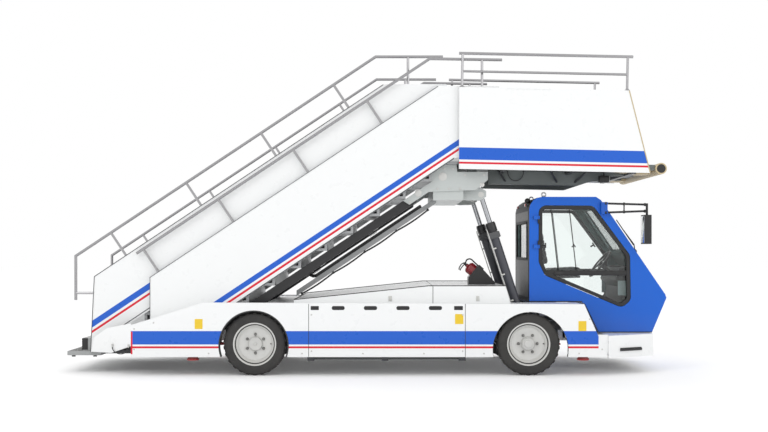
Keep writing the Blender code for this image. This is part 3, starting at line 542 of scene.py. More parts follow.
# Wheels. Block-tread tyres on pale painted steel rims; the driven rear pair has flat bolted hubs,
# the steered front pair a two-step bearing cap. Six nuts hold each.
def wheel_place(x, sign):
    """Axle space, with +Z out of the machine's side, from the inner face of the tyre."""
    return Matrix.Translation((x, sign * inner_face, axle_z)) @ Matrix.Rotation(math.radians(-90 * sign), 4, "X")


tyre_rubber = Look("tyre_rubber")
tyre_dust = tyre_rubber.mix(tyre_rubber.noise(5.0, 5.0) * 0.55, (0.018, 0.018, 0.019), (0.075, 0.070, 0.062))
tyre_rubber.bump(tyre_rubber.noise(260.0, 3.0), 0.0008, 0.5)
tyre_material = tyre_rubber.finish(tyre_dust, tyre_rubber.noise(30.0, 3.0) * 0.18 + 0.68)
rim_paint = coat("rim_paint", (0.62, 0.62, 0.60), (0.30, 0.27, 0.23), 0.5, 0.30)
hub_steel = steel("hub_steel", (0.62, 0.62, 0.60), 0.34)
nut_steel = steel("nut_steel", (0.26, 0.26, 0.25), 0.38)

inner_face, tyre_width = 0.895, 0.190
wheels = []
for side, sign in SIDES:
    for end in ("front", "rear"):
        low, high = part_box(f"wheel_{end}_{side}")
        wheels.append((end, side, sign, (low.x + high.x) / 2))
axle_z = 0.355
tread_radius, carcass = 0.3545, 0.3495
for end, side, sign, x in wheels:
    place = wheel_place(x, sign)
    body = f"wheel_{end}_{side}"
    tyre = bmesh.new()
    section = [
        (0.226, 0.020), (0.240, 0.008), (0.252, 0.003), (0.268, 0.0015), (0.290, 0.000), (0.312, 0.003), (0.334, 0.010),
        (carcass - 0.003, 0.021), (carcass, 0.032), (carcass, 0.060), (carcass + 0.002, 0.095),
    ]
    section += [(radius, tyre_width - height) for radius, height in reversed(section[:-1])]
    section += [(0.214, tyre_width - 0.030), (0.214, 0.030)]
    lathe(tyre, section, place, 96)
    for height in (0.006, tyre_width - 0.006):
        rib = [(0.300 + 0.003 * math.cos(t), height + 0.0030 * math.sin(t)) for t in (2 * math.pi * k / 6 for k in range(6))]
        lathe(tyre, rib, place, 96)
    tread = put(f"tyre_{end}_{side}", tyre, tyre_material, body, 40)
    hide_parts(body)

    lug = bmesh.new()
    outline = ((-0.018, -0.031), (0.015, -0.035), (0.021, -0.004), (0.018, 0.031), (-0.015, 0.035), (-0.022, 0.004))
    slab(lug, outline, 0.0, tread_radius - carcass + 0.004, "xy", 0.002, 1)
    places = []
    for k in range(26):
        for row, (offset, height) in enumerate(((0.0, 0.044), (0.5, 0.146))):
            turn = 2 * math.pi * (k + offset) / 26
            spot = Vector(((carcass - 0.004) * math.cos(turn), (carcass - 0.004) * math.sin(turn), height))
            frame_of = Matrix.Rotation(turn, 4, "Z") @ Matrix.Rotation(math.radians(90), 4, "Y") @ Matrix.Rotation(math.radians(90), 4, "Z")
            whole = place @ frame_of
            places.append((place @ spot, tuple(whole.to_euler())))
    repeat(f"tread_blocks_{end}_{side}", lug, places, tyre_material, body)

    rib = bmesh.new()
    brick(rib, (-0.010, -0.0015, -0.004), (0.010, 0.0015, 0.0020), 0.001, 1)
    places = []
    for k in range(52):
        turn = 2 * math.pi * k / 52
        for height, flip in ((tyre_width - 0.012, 0), (0.012, 180)):
            spot = Vector((0.333 * math.cos(turn), 0.333 * math.sin(turn), height))
            whole = place @ Matrix.Rotation(turn, 4, "Z") @ Matrix.Rotation(math.radians(flip), 4, "X")
            places.append((place @ spot, tuple(whole.to_euler())))
    repeat(f"shoulder_ribs_{end}_{side}", rib, places, tyre_material, body)

    rim = bmesh.new()
    outside = [
        (0.2435, 0.180), (0.2440, 0.1865), (0.2400, 0.1890), (0.2340, 0.1880), (0.2290, 0.1800), (0.2250, 0.1660),
        (0.2130, 0.1580), (0.2050, 0.1460), (0.1960, 0.1300), (0.1900, 0.1180), (0.1860, 0.1130),
    ]
    dish = [(0.1700, 0.1150), (0.1500, 0.1120), (0.1280, 0.1040), (0.0950, 0.1030), (0.0300, 0.1030)]
    behind = [(0.0300, 0.0755), (0.1250, 0.0760), (0.1700, 0.1020), (0.1900, 0.1060), (0.2060, 0.1200), (0.2140, 0.1500)]
    inside = [(0.2160, 0.0320), (0.2290, 0.0180), (0.2290, 0.0060), (0.2420, 0.0030), (0.2420, 0.0120), (0.2300, 0.0260), (0.2200, 0.0380), (0.2200, 0.1550), (0.2340, 0.1720)]
    lathe(rim, outside + dish + behind + inside, place, 72)
    put(f"rim_{end}_{side}", rim, rim_paint, body, 35)

    hub = bmesh.new()
    if end == "front":
        cap = ((0, 0.098), (0.078, 0.098), (0.078, 0.124), (0.074, 0.129), (0.068, 0.130), (0.068, 0.152), (0.064, 0.156), (0.046, 0.157), (0.045, 0.174), (0.040, 0.178), (0, 0.179))
    else:
        cap = ((0, 0.098), (0.080, 0.098), (0.080, 0.118), (0.076, 0.123), (0.066, 0.124), (0.058, 0.121), (0.020, 0.121), (0.016, 0.125), (0, 0.126))
    lathe(hub, cap, place, 40)
    put(f"hub_{end}_{side}", hub, hub_steel, body, 35)

    nut = bmesh.new()
    lathe(nut, ((0, -0.004), (0.0175, -0.004), (0.0175, 0.002), (0.0150, 0.004), (0.0150, 0.004), (0, 0.004)), Matrix(), 24)
    lathe(nut, ((0, 0.002), (0.0145, 0.002), (0.0145, 0.016), (0.0120, 0.020), (0, 0.020)), Matrix(), 6)
    lathe(nut, ((0, 0.016), (0.0075, 0.016), (0.0075, 0.028), (0.0060, 0.030), (0, 0.030)), Matrix(), 14)
    first = 0 if end == "front" else 30
    turns = [math.radians(first + 60 * k) for k in range(6)]
    places = [(place @ Vector((0.107 * math.cos(t), 0.107 * math.sin(t), 0.1035)), facing(sign)) for t in turns]
    repeat(f"wheel_nuts_{end}_{side}", nut, places, nut_steel, body)
    if end == "rear":
        bolt = bmesh.new()
        lathe(bolt, ((0, -0.002), (0.0075, -0.002), (0.0075, 0.006), (0.0060, 0.0075), (0, 0.0075)), Matrix(), 6)
        turns = [2 * math.pi * k / 8 for k in range(8)]
        places = [(place @ Vector((0.070 * math.cos(t), 0.070 * math.sin(t), 0.1235)), facing(sign)) for t in turns]
        repeat(f"hub_bolts_{end}_{side}", bolt, places, zinc, body)

    valve = bmesh.new()
    stem = place @ Matrix.Translation((0.172, 0.0, 0.108)) @ Matrix.Rotation(math.radians(18), 4, "Y")
    lathe(valve, ((0, 0), (0.006, 0), (0.006, 0.022), (0.0045, 0.026), (0.0045, 0.036), (0, 0.037)), stem, 12)
    put(f"valve_{end}_{side}", valve, rubber, body, 35)


# Deck, engine cover and bumper. White sheet over the frame: the cover has a grey rubber edge along its top,
# a joint across its middle and a lift-off handle; the bumper has a black serrated step in each corner.
def no_stripes(look):
    return ()


deck_enamel = enamel("deck_enamel", no_stripes)
dress(deck_enamel, "deck", "engine_cover", "front_bumper", "rear_fairing_right", "rear_fairing_left")


def tube(bm, path, radius, sides=12, bends=0.0, steps=5):
    """A round tube along points, its corners turned by an arc of a given reach, with closed ends."""
    points = [Vector(p) for p in path]
    if bends:
        eased = [points[0]]
        for before, here, after in zip(points, points[1:], points[2:]):
            reach = min(bends, (here - before).length * 0.48, (after - here).length * 0.48)
            start, end = here + (before - here).normalized() * reach, here + (after - here).normalized() * reach
            for k in range(steps + 1):
                t = k / steps
                eased.append(start * (1 - t) ** 2 + here * 2 * t * (1 - t) + end * t * t)
        points = eased + [points[-1]]
    part = bmesh.new()
    across = None
    rings = []
    for i, point in enumerate(points):
        ahead = points[min(i + 1, len(points) - 1)] - points[max(i - 1, 0)]
        ahead.normalize()
        if across is None:
            across = ahead.orthogonal().normalized()
        across = (across - ahead * across.dot(ahead)).normalized()
        other = ahead.cross(across)
        turns = [2 * math.pi * k / sides for k in range(sides)]
        rings.append([part.verts.new(point + (across * math.cos(t) + other * math.sin(t)) * radius) for t in turns])
    part.faces.new(rings[0][::-1])
    part.faces.new(rings[-1])
    for first, second in zip(rings, rings[1:]):
        for k in range(sides):
            j = (k + 1) % sides
            part.faces.new((first[k], first[j], second[j], second[k]))
    merge(bm, part)


cover_low, cover_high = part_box("engine_cover")
edge = bmesh.new()
ridge = 0.688
for side, sign in SIDES:
    y = sign * 0.947
    tube(edge, ((-0.849, y, 0.853), (ridge, y, 1.0110), (1.567, y, 1.0110)), 0.0055, 8)
tube(edge, ((1.567, -0.947, 1.0110), (1.567, 0.947, 1.0110)), 0.0055, 8)
tube(edge, ((-0.849, -0.947, 0.853), (-0.849, 0.947, 0.853)), 0.0055, 8)
put("engine_cover_edge", edge, rubber, "chassis", 60)

joint = bmesh.new()
seam_x = 0.738
brick(joint, (seam_x - 0.003, -0.952, 0.812), (seam_x + 0.003, -0.949, 1.008), 0.0006, 1)
brick(joint, (seam_x - 0.003, 0.949, 0.812), (seam_x + 0.003, 0.952, 1.008), 0.0006, 1)
brick(joint, (seam_x - 0.003, -0.950, 1.008), (seam_x + 0.003, 0.950, 1.0105), 0.0006, 1)
put("engine_cover_joint", joint, rubber, "chassis")

catches = bmesh.new()
for y in (-0.955, 0.955):
    for x in (0.250, 1.250):
        brick(catches, (x - 0.020, min(y, y * 0.995), 0.835), (x + 0.020, max(y, y * 0.995), 0.895), 0.003)
        tube(catches, ((x, y * 1.006, 0.850), (x, y * 1.006, 0.885)), 0.006, 8)
put("engine_cover_catches", catches, zinc, "chassis", 35)

bumper_low, bumper_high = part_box("front_bumper")
treads = bmesh.new()
for side, sign in SIDES:
    turn = math.atan2(1.100 - 0.790, 3.297 - 2.712)
    corner = Matrix.Translation((3.005, sign * 0.945, 0)) @ Matrix.Rotation(-sign * turn, 4, "Z")
    near, far = both(sign, 0.0, 0.0145)
    brick(treads, (-0.165, near, 0.272), (0.150, far, 0.298), 0.002, 1, corner)
    for k in range(16):
        start = -0.161 + 0.0195 * k
        brick(treads, (start, near, 0.296), (start + 0.010, far, 0.308), 0.001, 1, corner)
put("bumper_steps", treads, vent_black, "chassis")

infill = bmesh.new()
for side, sign in SIDES:
    near, far = both(sign, 1.060, 1.085)
    slab(infill, ((2.560, 0.464), (2.712, 0.464), (2.712, 0.246), (2.560, 0.246)), near, far, "xz", 0.002, 1)
put("cover_to_bumper_panels", infill, deck_enamel, "chassis", 35)


# Stabilisers. Square black stems slide down out of the frame; each ends in a red steel pad.
jack_red = coat("jack_red", (0.42, 0.030, 0.030), amount=0.5)
for side, sign in SIDES:
    for end in ("front", "rear"):
        name = f"stabiliser_{end}_{side}"
        dress(frame_paint, name)
        low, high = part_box(name)
        x, y = (low.x + high.x) / 2, (low.y + high.y) / 2
        pad = bmesh.new()
        place = Matrix.Translation((x, y, low.z))
        profile = ((0, -0.0005), (0.066, -0.0005), (0.070, 0.004), (0.070, 0.016), (0.064, 0.022), (0.058, 0.026), (0.0565, 0.034), (0, 0.0345))
        lathe(pad, profile, place, 32)
        put(f"pad_{end}_{side}", pad, jack_red, name, 35)


# Stair foot. A grey ribbed foot plate on small feet, a black rubber kerb above it, white cheeks to the chassis,
# and a brake hose that hangs in a loop below each cheek.
foot_grey = coat("foot_grey", (0.33, 0.34, 0.34), amount=0.7)
dress(foot_grey, "rear_step")
foot_low, foot_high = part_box("rear_step")
foot = bmesh.new()
for k in range(11):
    x = foot_low.x + 0.018 + 0.0145 * k
    brick(foot, (x, -0.765, 0.2495), (x + 0.006, 0.765, 0.2530), 0.001, 1)
put("foot_ribs", foot, foot_grey, "chassis")

kerb = bmesh.new()
brick(kerb, (-3.3290, -0.742, 0.256), (-3.3270, 0.742, 0.394), 0.0008, 1)
for k in range(5):
    z = 0.270 + 0.026 * k
    brick(kerb, (-3.3330, -0.742, z), (-3.3285, 0.742, z + 0.012), 0.002, 1)
brick(kerb, (-3.330, -0.7420, 0.262), (-3.262, -0.7402, 0.396), 0.0006, 1)
brick(kerb, (-3.330, 0.7402, 0.262), (-3.262, 0.7420, 0.396), 0.0006, 1)
put("foot_kerb", kerb, rubber, "chassis")

feet = bmesh.new()
places = [(Vector((x, y, 0.2005)), (0, 0, 0)) for x in (-3.440, -3.190) for y in (-0.700, 0.0, 0.700)]
lathe(feet, ((0, -0.022), (0.022, -0.022), (0.024, -0.018), (0.024, -0.012), (0.014, -0.009), (0.012, 0.0), (0, 0.0)), Matrix(), 18)
repeat("foot_pads", feet, places, rubber, "chassis")

lamp_red = Look("lamp_red", Coat_Weight=0.6)
lens_lines = lamp_red.noise(140.0, 1.0)
lamp_red.bump((lamp_red.z * 900.0) % 6.0, 0.0008, 0.4)
lamp_lens = lamp_red.finish(lamp_red.mix(lens_lines * 0.4, (0.55, 0.012, 0.012), (0.30, 0.008, 0.008)), 0.12)


def cheek_place(x, z, sign):
    """A point on the outer face of a cheek, turned with it."""
    y = sign * (1.098 - 0.44 * (-2.6773 - x))
    return Matrix.Translation((x, y, z)) @ Matrix.Rotation(sign * math.atan(0.44), 4, "Z")


hose_black = plastic("hose_black", (0.012, 0.012, 0.013), 0.5, 500.0)


def hanging(start, end, drop, count=24):
    """A cord held at two points: straight down out of the first, round below, and up into the second."""
    points = []
    for k in range(count + 1):
        t = math.pi * k / count
        along = start.lerp(end, (1 - math.cos(t)) / 2)
        points.append(along - Vector((0, 0, drop * math.sin(t))))
    return points


def loop_of(name, path, diameter, body):
    """A free length of cable or hose along its path."""
    bm = bmesh.new()
    tube(bm, path, diameter / 2, 10)
    made = put(name, bm, hose_black, body, 60)
    length = sum((b - a).length for a, b in zip(path, path[1:]))


for side, sign in SIDES:
    root = cheek_place(-2.700, 0.318, sign) @ Vector((0, sign * 0.012, 0))
    leaf = cheek_place(-2.905, 0.318, sign) @ Vector((0, sign * 0.012, 0))
    loop_of(f"brake_hose_{side}", hanging(root, leaf, 0.075), 0.010, "chassis")
    clips = bmesh.new()
    for point in (root, leaf):
        lathe(clips, ((0, 0.0), (0.008, 0.0), (0.008, 0.022), (0.011, 0.024), (0.011, 0.034), (0, 0.036)), Matrix.Translation(point), 16)
        near, far = sorted((point.y - sign * 0.028, point.y))
        brick(clips, (point.x - 0.010, near, point.z + 0.012), (point.x + 0.010, far, point.z + 0.030), 0.001, 1)
    put(f"hose_ends_{side}", clips, zinc, "chassis", 35)


# Lower flight. Flat white side panels in a thin dark trim, striped like the chassis. Between them the folded
# aluminium steps have ribbed grip strips, and bright tube handrails stand on both edges.
slope = math.radians(33.6)
rise = math.tan(slope)


def along_slope(look, x0, z0):
    """Height above a line that climbs at the stairs' own slope through a point."""
    return look.z - ((look.x - x0) * rise + z0)


def flight_stripes(x0, z0, blue, red):
    def stripes(look):
        height = along_slope(look, x0, z0)
        yield band(height, *blue), stripe_blue
        yield band(height, *red), stripe_red
    return stripes


lower_enamel = enamel("lower_flight_enamel", flight_stripes(-3.1872, 0.5675, (-0.040, 0.040), (-0.103, -0.073)), outer_side)
dress(lower_enamel, "lower_panel_right", "lower_panel_left")

tread_metal = Look("tread_aluminium", Metallic=0.85)
ribs = (tread_metal.x * 100.0) % 1.0
wear = tread_metal.noise(3.0, 5.0) * 0.5
tread_metal.bump(ribs.ramp(0.2, 0.5) - ribs.ramp(0.7, 1.0), 0.0012, 0.7)
tread_grip = tread_metal.finish(tread_metal.mix(wear, (0.40, 0.41, 0.42), (0.24, 0.24, 0.235)), tread_metal.noise(14.0) * 0.2 + 0.38)
dress(tread_grip, "lower_steps", "upper_steps")

rail_steel = steel("rail_steel", (0.40, 0.395, 0.405), 0.20, (1, 1, 1))
dress(rail_steel, *(f"{part}_rail_{side}" for part in ("lower", "upper", "platform") for side, _ in SIDES))


def nosings(flight, top_start, landing_z, treads, half, landing_end):
    """Grip strips along the nose and back of every tread."""
    strip = bmesh.new()
    brick(strip, (-0.022, -half, -0.001), (0.022, half, 0.0018), 0.0008, 1)
    for k in range(5):
        x = -0.0175 + 0.0085 * k
        brick(strip, (x, -half, 0.0012), (x + 0.004, half, 0.0034), 0.0006, 1)
    places = []
    for k in range(treads):
        z = landing_z - 0.200 * k
        x = top_start[0] + (z + 0.800 - top_start[1]) / rise
        places.append((Vector((x + 0.026, 0, z)), (0, 0, 0)))
    repeat(f"{flight}_nosings", strip, places, vent_black, flight)


lower_half, upper_half = 0.775, 0.845
nosings("lower_flight", (-3.171, 1.117), 2.500, 11, lower_half, 0.735)
nosings("upper_flight", (-2.512, 1.107), 2.440, 9, upper_half, 1.030)

trim_grey = coat("trim_grey", (0.075, 0.080, 0.085), amount=0.2)


def edging(name, outlines, body, material, radius=0.006):
    """Thin round trim along the edge of a panel."""
    bm = bmesh.new()
    for path in outlines:
        tube(bm, path, radius, 8)
    return put(name, bm, material, body, 60)


for side, sign in SIDES:
    y = sign * 0.8165
    x0, z0 = -3.171, 1.117
    knee = z0 + (0.171 - x0) * rise
    edging(f"lower_trim_{side}", (
        ((x0 + 0.002, y, z0 - 0.004), (0.171, y, knee - 0.006)),
        ((-3.2110, y, 0.235), (x0 + 0.003, y, z0 - 0.006)),
    ), "lower_flight", trim_grey, 0.0045)
    bar = bmesh.new()
    near, far = both(sign, 0.814, 0.8175)
    low = [(-3.0150, 0.4230), (0.560, 0.4230 + 3.575 * rise)]
    slab(bar, (low[0], low[1], (low[1][0], low[1][1] + 0.012), (low[0][0], low[0][1] + 0.012)), near, far)
    put(f"lower_line_{side}", bar, trim_grey, "lower_flight")


# Upper flight. Deeper white panels outside the lower ones, with the same stripes, a grey strip under the bottom
# edge and folded joints in the sheet; dark stiffeners cross under the steps.
upper_enamel = enamel("upper_flight_enamel", flight_stripes(-2.512, 0.143, (0.121, 0.191), (0.061, 0.091)), outer_side)
dress(upper_enamel, "upper_panel_right", "upper_panel_left")
for side, sign in SIDES:
    y = sign * 0.8865
    x0, z0 = -2.512, 1.107
    edging(f"upper_trim_{side}", (
        ((x0, y, z0 - 0.004), (0.800, y, z0 + (0.800 - x0) * rise - 0.006)),
        ((x0 + 0.003, y, 0.625), (x0 + 0.003, y, z0 - 0.004)),
    ), "upper_flight", trim_grey, 0.0035)
    strip = bmesh.new()
    near, far = both(sign, 0.8845, 0.8880)
    low_x, low_z = -1.780, 0.6295
    slab(strip, ((low_x, low_z), (0.985, low_z + 2.765 * rise), (0.985, low_z + 2.765 * rise + 0.016), (low_x, low_z + 0.016)), near, far)
    put(f"upper_line_{side}", strip, trim_grey, "upper_flight")


# Lift bracket, boom beams and cable tray. Grey bracket plates carry bolted pivots; two black box booms run down
# under the steps, and a grey tray between them carries the energy chain.
bracket_grey = coat("bracket_grey", (0.50, 0.53, 0.52), amount=0.35)
boom_black = coat("boom_black", (0.012, 0.012, 0.014), amount=0.3, gloss=0.30)
dress(bracket_grey, "lift_bracket")
dress(boom_black, "boom_beam_right", "boom_beam_left")
tray_grey = coat("tray_grey", (0.36, 0.37, 0.375), amount=0.3)
dress(tray_grey, "cable_tray")

pins = bmesh.new()
for side, sign in SIDES:
    for x, z, radius, proud in ((0.575, 2.080, 0.030, 0.012), (1.315, 2.175, 0.020, 0.008), (0.860, 2.270, 0.036, 0.010)):
        place = Matrix.Translation((x, sign * 0.780, z)) @ Matrix.Rotation(math.radians(-90 * sign), 4, "X")
        lathe(pins, ((0, -0.002), (radius * 1.35, -0.002), (radius * 1.35, 0.004), (radius, 0.006), (radius, proud), (radius * 0.85, proud + 0.002), (0, proud + 0.002)), place, 28)
put("bracket_pins", pins, zinc, "upper_flight", 35)

for side, sign in SIDES:
    bolt = bmesh.new()
    lathe(bolt, ((0, -0.001), (0.013, -0.001), (0.013, 0.0015), (0, 0.0015)), Matrix(), 18)
    lathe(bolt, ((0, 0.001), (0.0095, 0.001), (0.0095, 0.007), (0.008, 0.0085), (0, 0.0085)), Matrix(), 6)
    spots = ((0.780, 2.360), (0.880, 2.360), (0.980, 2.360), (0.800, 2.130), (0.930, 2.130), (1.060, 2.130), (0.480, 1.975), (1.120, 2.290), (1.340, 2.290))
    repeat(f"bracket_bolts_{side}", bolt, [(Vector((x, sign * 0.780, z)), facing(sign)) for x, z in spots], zinc, "upper_flight")

cross = bmesh.new()
for side, sign in SIDES:
    near, far = both(sign, 0.655, 0.7385)
    for x in (-1.450, -0.720, 0.010):
        z = 1.107 + (x + 2.512) * rise - 0.800 - 0.200 - 0.030 - 0.030 * rise - 0.0003
        place = Matrix.Translation((x, 0, z - 0.062)) @ Matrix.Rotation(-slope, 4, "Y")
        brick(cross, (-0.055, near, -0.058), (0.055, far, -0.053), 0.001, 1, place)
put("boom_splices", cross, boom_black, "upper_flight")

ties = bmesh.new()
for x in (-1.300, -0.620, 0.060):
    z = 1.107 + (x + 2.512) * rise - 1.062
    place = Matrix.Translation((x, 0, z - 0.050)) @ Matrix.Rotation(-slope, 4, "Y")
    brick(ties, (-0.035, -0.6605, -0.030), (0.035, 0.6605, 0.030), 0.006, 2, place)
put("boom_ties", ties, boom_black, "upper_flight", 35)

link = bmesh.new()
slab(link, rounded((-0.024, -0.019), (0.024, 0.019), 0.008, 3), -0.030, -0.026, "xz", 0.001, 1)
slab(link, rounded((-0.024, -0.019), (0.024, 0.019), 0.008, 3), 0.026, 0.030, "xz", 0.001, 1)
brick(link, (-0.008, -0.028, -0.018), (0.008, 0.028, -0.014), 0.001, 1)
brick(link, (-0.008, -0.028, 0.014), (0.008, 0.028, 0.018), 0.001, 1)
tray_foot = (-0.860, 0.8750)
top_line = [(x, tray_foot[1] + 0.065 + (x - tray_foot[0]) * rise + 0.022) for x in (0.600, -0.620)]
bend_centre = (-0.620 - 0.060 * math.sin(slope), top_line[1][1] + 0.060 * math.cos(slope))
route = []
steps_down = 36
for k in range(steps_down + 1):
    t = k / steps_down
    route.append((top_line[0][0] * (1 - t) + top_line[1][0] * t, top_line[0][1] * (1 - t) + top_line[1][1] * t, math.pi + slope))
for k in range(1, 6):
    turn = math.radians(-90) + slope - math.pi * k / 6
    route.append((bend_centre[0] + 0.060 * math.cos(turn), bend_centre[1] + 0.060 * math.sin(turn), turn - math.pi / 2))
back = (bend_centre[0] - 0.060 * math.sin(slope), bend_centre[1] + 0.060 * math.cos(slope))
for k in range(0, 20):
    route.append((back[0] + 0.0395 * k * math.cos(slope), back[1] + 0.0395 * k * math.sin(slope), slope))
places = [(Vector((x, -0.430, z)), (0, -turn, 0)) for x, z, turn in route]
repeat("energy_chain", link, places, vent_black, "upper_flight")

runs = bmesh.new()
for y, drop in ((-0.470, 0.012), (-0.395, 0.018)):
    path = []
    for k in range(25):
        x = -0.800 + 1.500 * k / 24
        sag = 0.030 * math.sin(math.pi * ((k % 6) / 6)) if k % 6 else 0.0
        path.append((x, y, tray_foot[1] + (x - tray_foot[0]) * rise - drop - sag * 0.5))
    tube(runs, path, 0.007, 8)
for k in (0, 6, 12, 18, 24):
    x = -0.800 + 1.500 * k / 24
    z = tray_foot[1] + (x - tray_foot[0]) * rise
    place = Matrix.Translation((x, 0, z - 0.011)) @ Matrix.Rotation(-slope, 4, "Y")
    brick(runs, (-0.010, -0.482, -0.016), (0.010, -0.378, 0.014), 0.002, 1, place)
put("tray_cables", runs, hose_black, "upper_flight", 60)


# Lift cylinders. Ground chrome rods in dark painted barrels, with a bolted gland, a clamp block and a steel
# pressure pipe to a port at the foot.
rod_chrome = steel("rod_chrome", (0.46, 0.47, 0.49), 0.16, (1, 1, 0.1))
dress(rod_chrome, "lift_rod_right", "lift_rod_left")
barrel_slate = coat("barrel_slate", (0.050, 0.052, 0.066), amount=0.3, gloss=0.28)
dress(barrel_slate, "lift_barrel_right", "lift_barrel_left")
foot_point, eye_point = Vector((1.813, 0, 0.550)), Vector((1.315, 0, 2.069))
lift_turn = (eye_point - foot_point).to_track_quat("Z", "Y").to_matrix().to_4x4()
for side, sign in SIDES:
    place = Matrix.Translation(foot_point + Vector((0, sign * 0.600, 0))) @ lift_turn
    rings = bmesh.new()
    lathe(rings, ((0.0520, 1.140), (0.0590, 1.140), (0.0600, 1.144), (0.0600, 1.236), (0.0580, 1.2425), (0.0520, 1.2425)), place, 36)
    lathe(rings, ((0.0520, 1.2420), (0.0545, 1.2420), (0.0545, 1.2535), (0.0530, 1.2550), (0.0310, 1.2550), (0.0310, 1.2530), (0.0520, 1.2530)), place, 36)
    lathe(rings, ((0.0520, 0.022), (0.0560, 0.022), (0.0560, 0.060), (0.0520, 0.062)), place, 36)
    put(f"gland_{side}", rings, boom_black, "lift_barrels", 35)

    clamp = bmesh.new()
    for low, high in ((-0.070, -0.0530), (0.0530, 0.070)):
        brick(clamp, (low, -0.060, 1.060), (high, 0.060, 1.135), 0.003, 2, place)
    brick(clamp, (-0.070, -0.068, 1.064), (0.070, -0.0530, 1.131), 0.003, 2, place)
    brick(clamp, (-0.070, 0.0530, 1.064), (0.070, 0.068, 1.131), 0.003, 2, place)
    put(f"clamp_{side}", clamp, cast_iron, "lift_barrels", 35)

    pipes = bmesh.new()
    route = ((0.020, -0.066, 1.190), (0.062, -0.066, 1.190), (0.072, -0.066, 1.120), (0.072, -0.066, 0.180), (0.050, -0.053, 0.120), (0.045, 0, 0.110))
    tube(pipes, [place @ Vector((-sign * x, y, z)) for x, y, z in route], 0.007, 10, 0.03)
    near, far = both(sign, -0.046, -0.083)
    for height in (0.300, 0.620, 0.940):
        brick(pipes, (near, -0.075, height), (far, -0.026, height + 0.018), 0.002, 1, place)
    put(f"lift_pipe_{side}", pipes, zinc, "lift_barrels", 50)

    eye = bmesh.new()
    turned_eye = Matrix.Translation(eye_point + Vector((0, sign * 0.600, 0))) @ Matrix.Rotation(math.radians(90), 4, "X")
    for low, high in ((-0.0625, -0.0605), (0.0605, 0.0625)):
        lathe(eye, ((0, low), (0.034, low), (0.034, high), (0, high)), turned_eye, 28)
    put(f"eye_caps_{side}", eye, zinc, "upper_flight", 35)


# Platform. White side panels with the same bands, a beige rubber strip down the slanted front edge, a handle strip
# along the top rear, and dark beams, a work lamp and a beige buffer tube below and in front.
hinge = Vector((1.200, 0, 2.270))
droop = math.radians(1.2)
tilt = Matrix.Translation(hinge) @ Matrix.Rotation(droop, 4, "Y") @ Matrix.Translation(-hinge)


def platform_stripes(look):
    height = look.z + (look.x - 1.200) * math.tan(droop)
    yield band(height, 2.452, 2.592), stripe_blue
    yield band(height, 2.404, 2.427), stripe_red


platform_enamel = enamel("platform_enamel", platform_stripes, outer_side)
dress(platform_enamel, "platform_panel_right", "platform_panel_left")
floor_look = Look("platform_floor_paint")
checks = floor_look.node("TexVoronoi", {"feature": "F1"}, Vector=floor_look.place, Scale=46.0, Randomness=0.0)
studs = 1.0 - Value(floor_look, checks["Distance"]).ramp(0.10, 0.35)
floor_look.bump(studs * floor_look.up.ramp(0.4, 0.9), 0.0015, 0.8)
walked = floor_look.mix(floor_look.noise(3.0, 5.0) * 0.5, (0.045, 0.048, 0.052), (0.12, 0.115, 0.105))
beams = floor_look.mix(floor_look.noise(2.0, 5.0) * 0.4, (0.150, 0.168, 0.165), (0.095, 0.105, 0.105))
floor_shade = floor_look.mix(floor_look.up.ramp(0.4, 0.9), beams, walked)
floor_paint = floor_look.finish(floor_shade, floor_look.noise(12.0) * 0.2 + 0.45)
dress(floor_paint, "platform_floor")
beige = plastic("buffer_rubber", (0.52, 0.42, 0.25), 0.55, 300.0)
dress(beige, "bumper_tube")

for side, sign in SIDES:
    strip = bmesh.new()
    near, far = both(sign, 0.9120, 0.9500)
    slab(strip, ((3.2125, 2.352), (3.2250, 2.352), (2.9690, 3.279), (2.9560, 3.279)), near, far, "xz", 0.003, 2)
    strip.transform(tilt)
    put(f"platform_edge_{side}", strip, beige, "platform", 35)

    grip = bmesh.new()
    near, far = both(sign, 0.9450, 0.9500)
    slab(grip, ((1.565, 3.270), (2.060, 3.270), (2.060, 3.288), (1.565, 3.288)), near, far, "xz", 0.002, 2)
    near, far = both(sign, 0.9150, 0.9450)
    slab(grip, ((1.565, 3.2815), (2.060, 3.2815), (2.060, 3.288), (1.565, 3.288)), near, far, "xz", 0.002, 2)
    grip.transform(tilt)
    put(f"platform_capping_{side}", grip, deck_enamel, "platform", 35)

    shoes = bmesh.new()
    y = sign * 0.930
    for x in (1.050, 2.940):
        for turn, low in ((0, 3.2815),):
            brick(shoes, (x - 0.030, y - 0.014, low), (x + 0.030, y + 0.014, low + 0.006), 0.001, 1)
        lathe(shoes, ((0.0155, 3.287), (0.022, 3.287), (0.018, 3.300), (0.0155, 3.302)), Matrix.Translation((x, y, 0)), 20)
    shoes.transform(tilt)
    put(f"post_shoes_{side}", shoes, rail_steel, "platform", 35)

wedge = bmesh.new()
slab(wedge, ((2.900, 2.3795), (3.2700, 2.3795), (3.2700, 2.3450), (3.1500, 2.3420), (2.900, 2.3740)), -0.780, -0.495, "xz", 0.004, 2)
slab(wedge, ((2.900, 2.3795), (3.2700, 2.3795), (3.2700, 2.3450), (3.1500, 2.3420), (2.900, 2.3740)), 0.495, 0.780, "xz", 0.004, 2)
wedge.transform(tilt)
put("buffer_wedges", wedge, beige, "platform", 35)

tube_low, tube_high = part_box("bumper_tube")
ends = bmesh.new()
centre = ((tube_low.x + tube_high.x) / 2, (tube_low.z + tube_high.z) / 2)
for side, sign in SIDES:
    place = Matrix.Translation((centre[0], sign * 0.9495, centre[1])) @ Matrix.Rotation(math.radians(-90 * sign), 4, "X")
    lathe(ends, ((0, 0.0), (0.050, 0.0), (0.050, 0.0016), (0, 0.0016)), place, 36)
put("buffer_ends", ends, vent_black, "platform", 35)

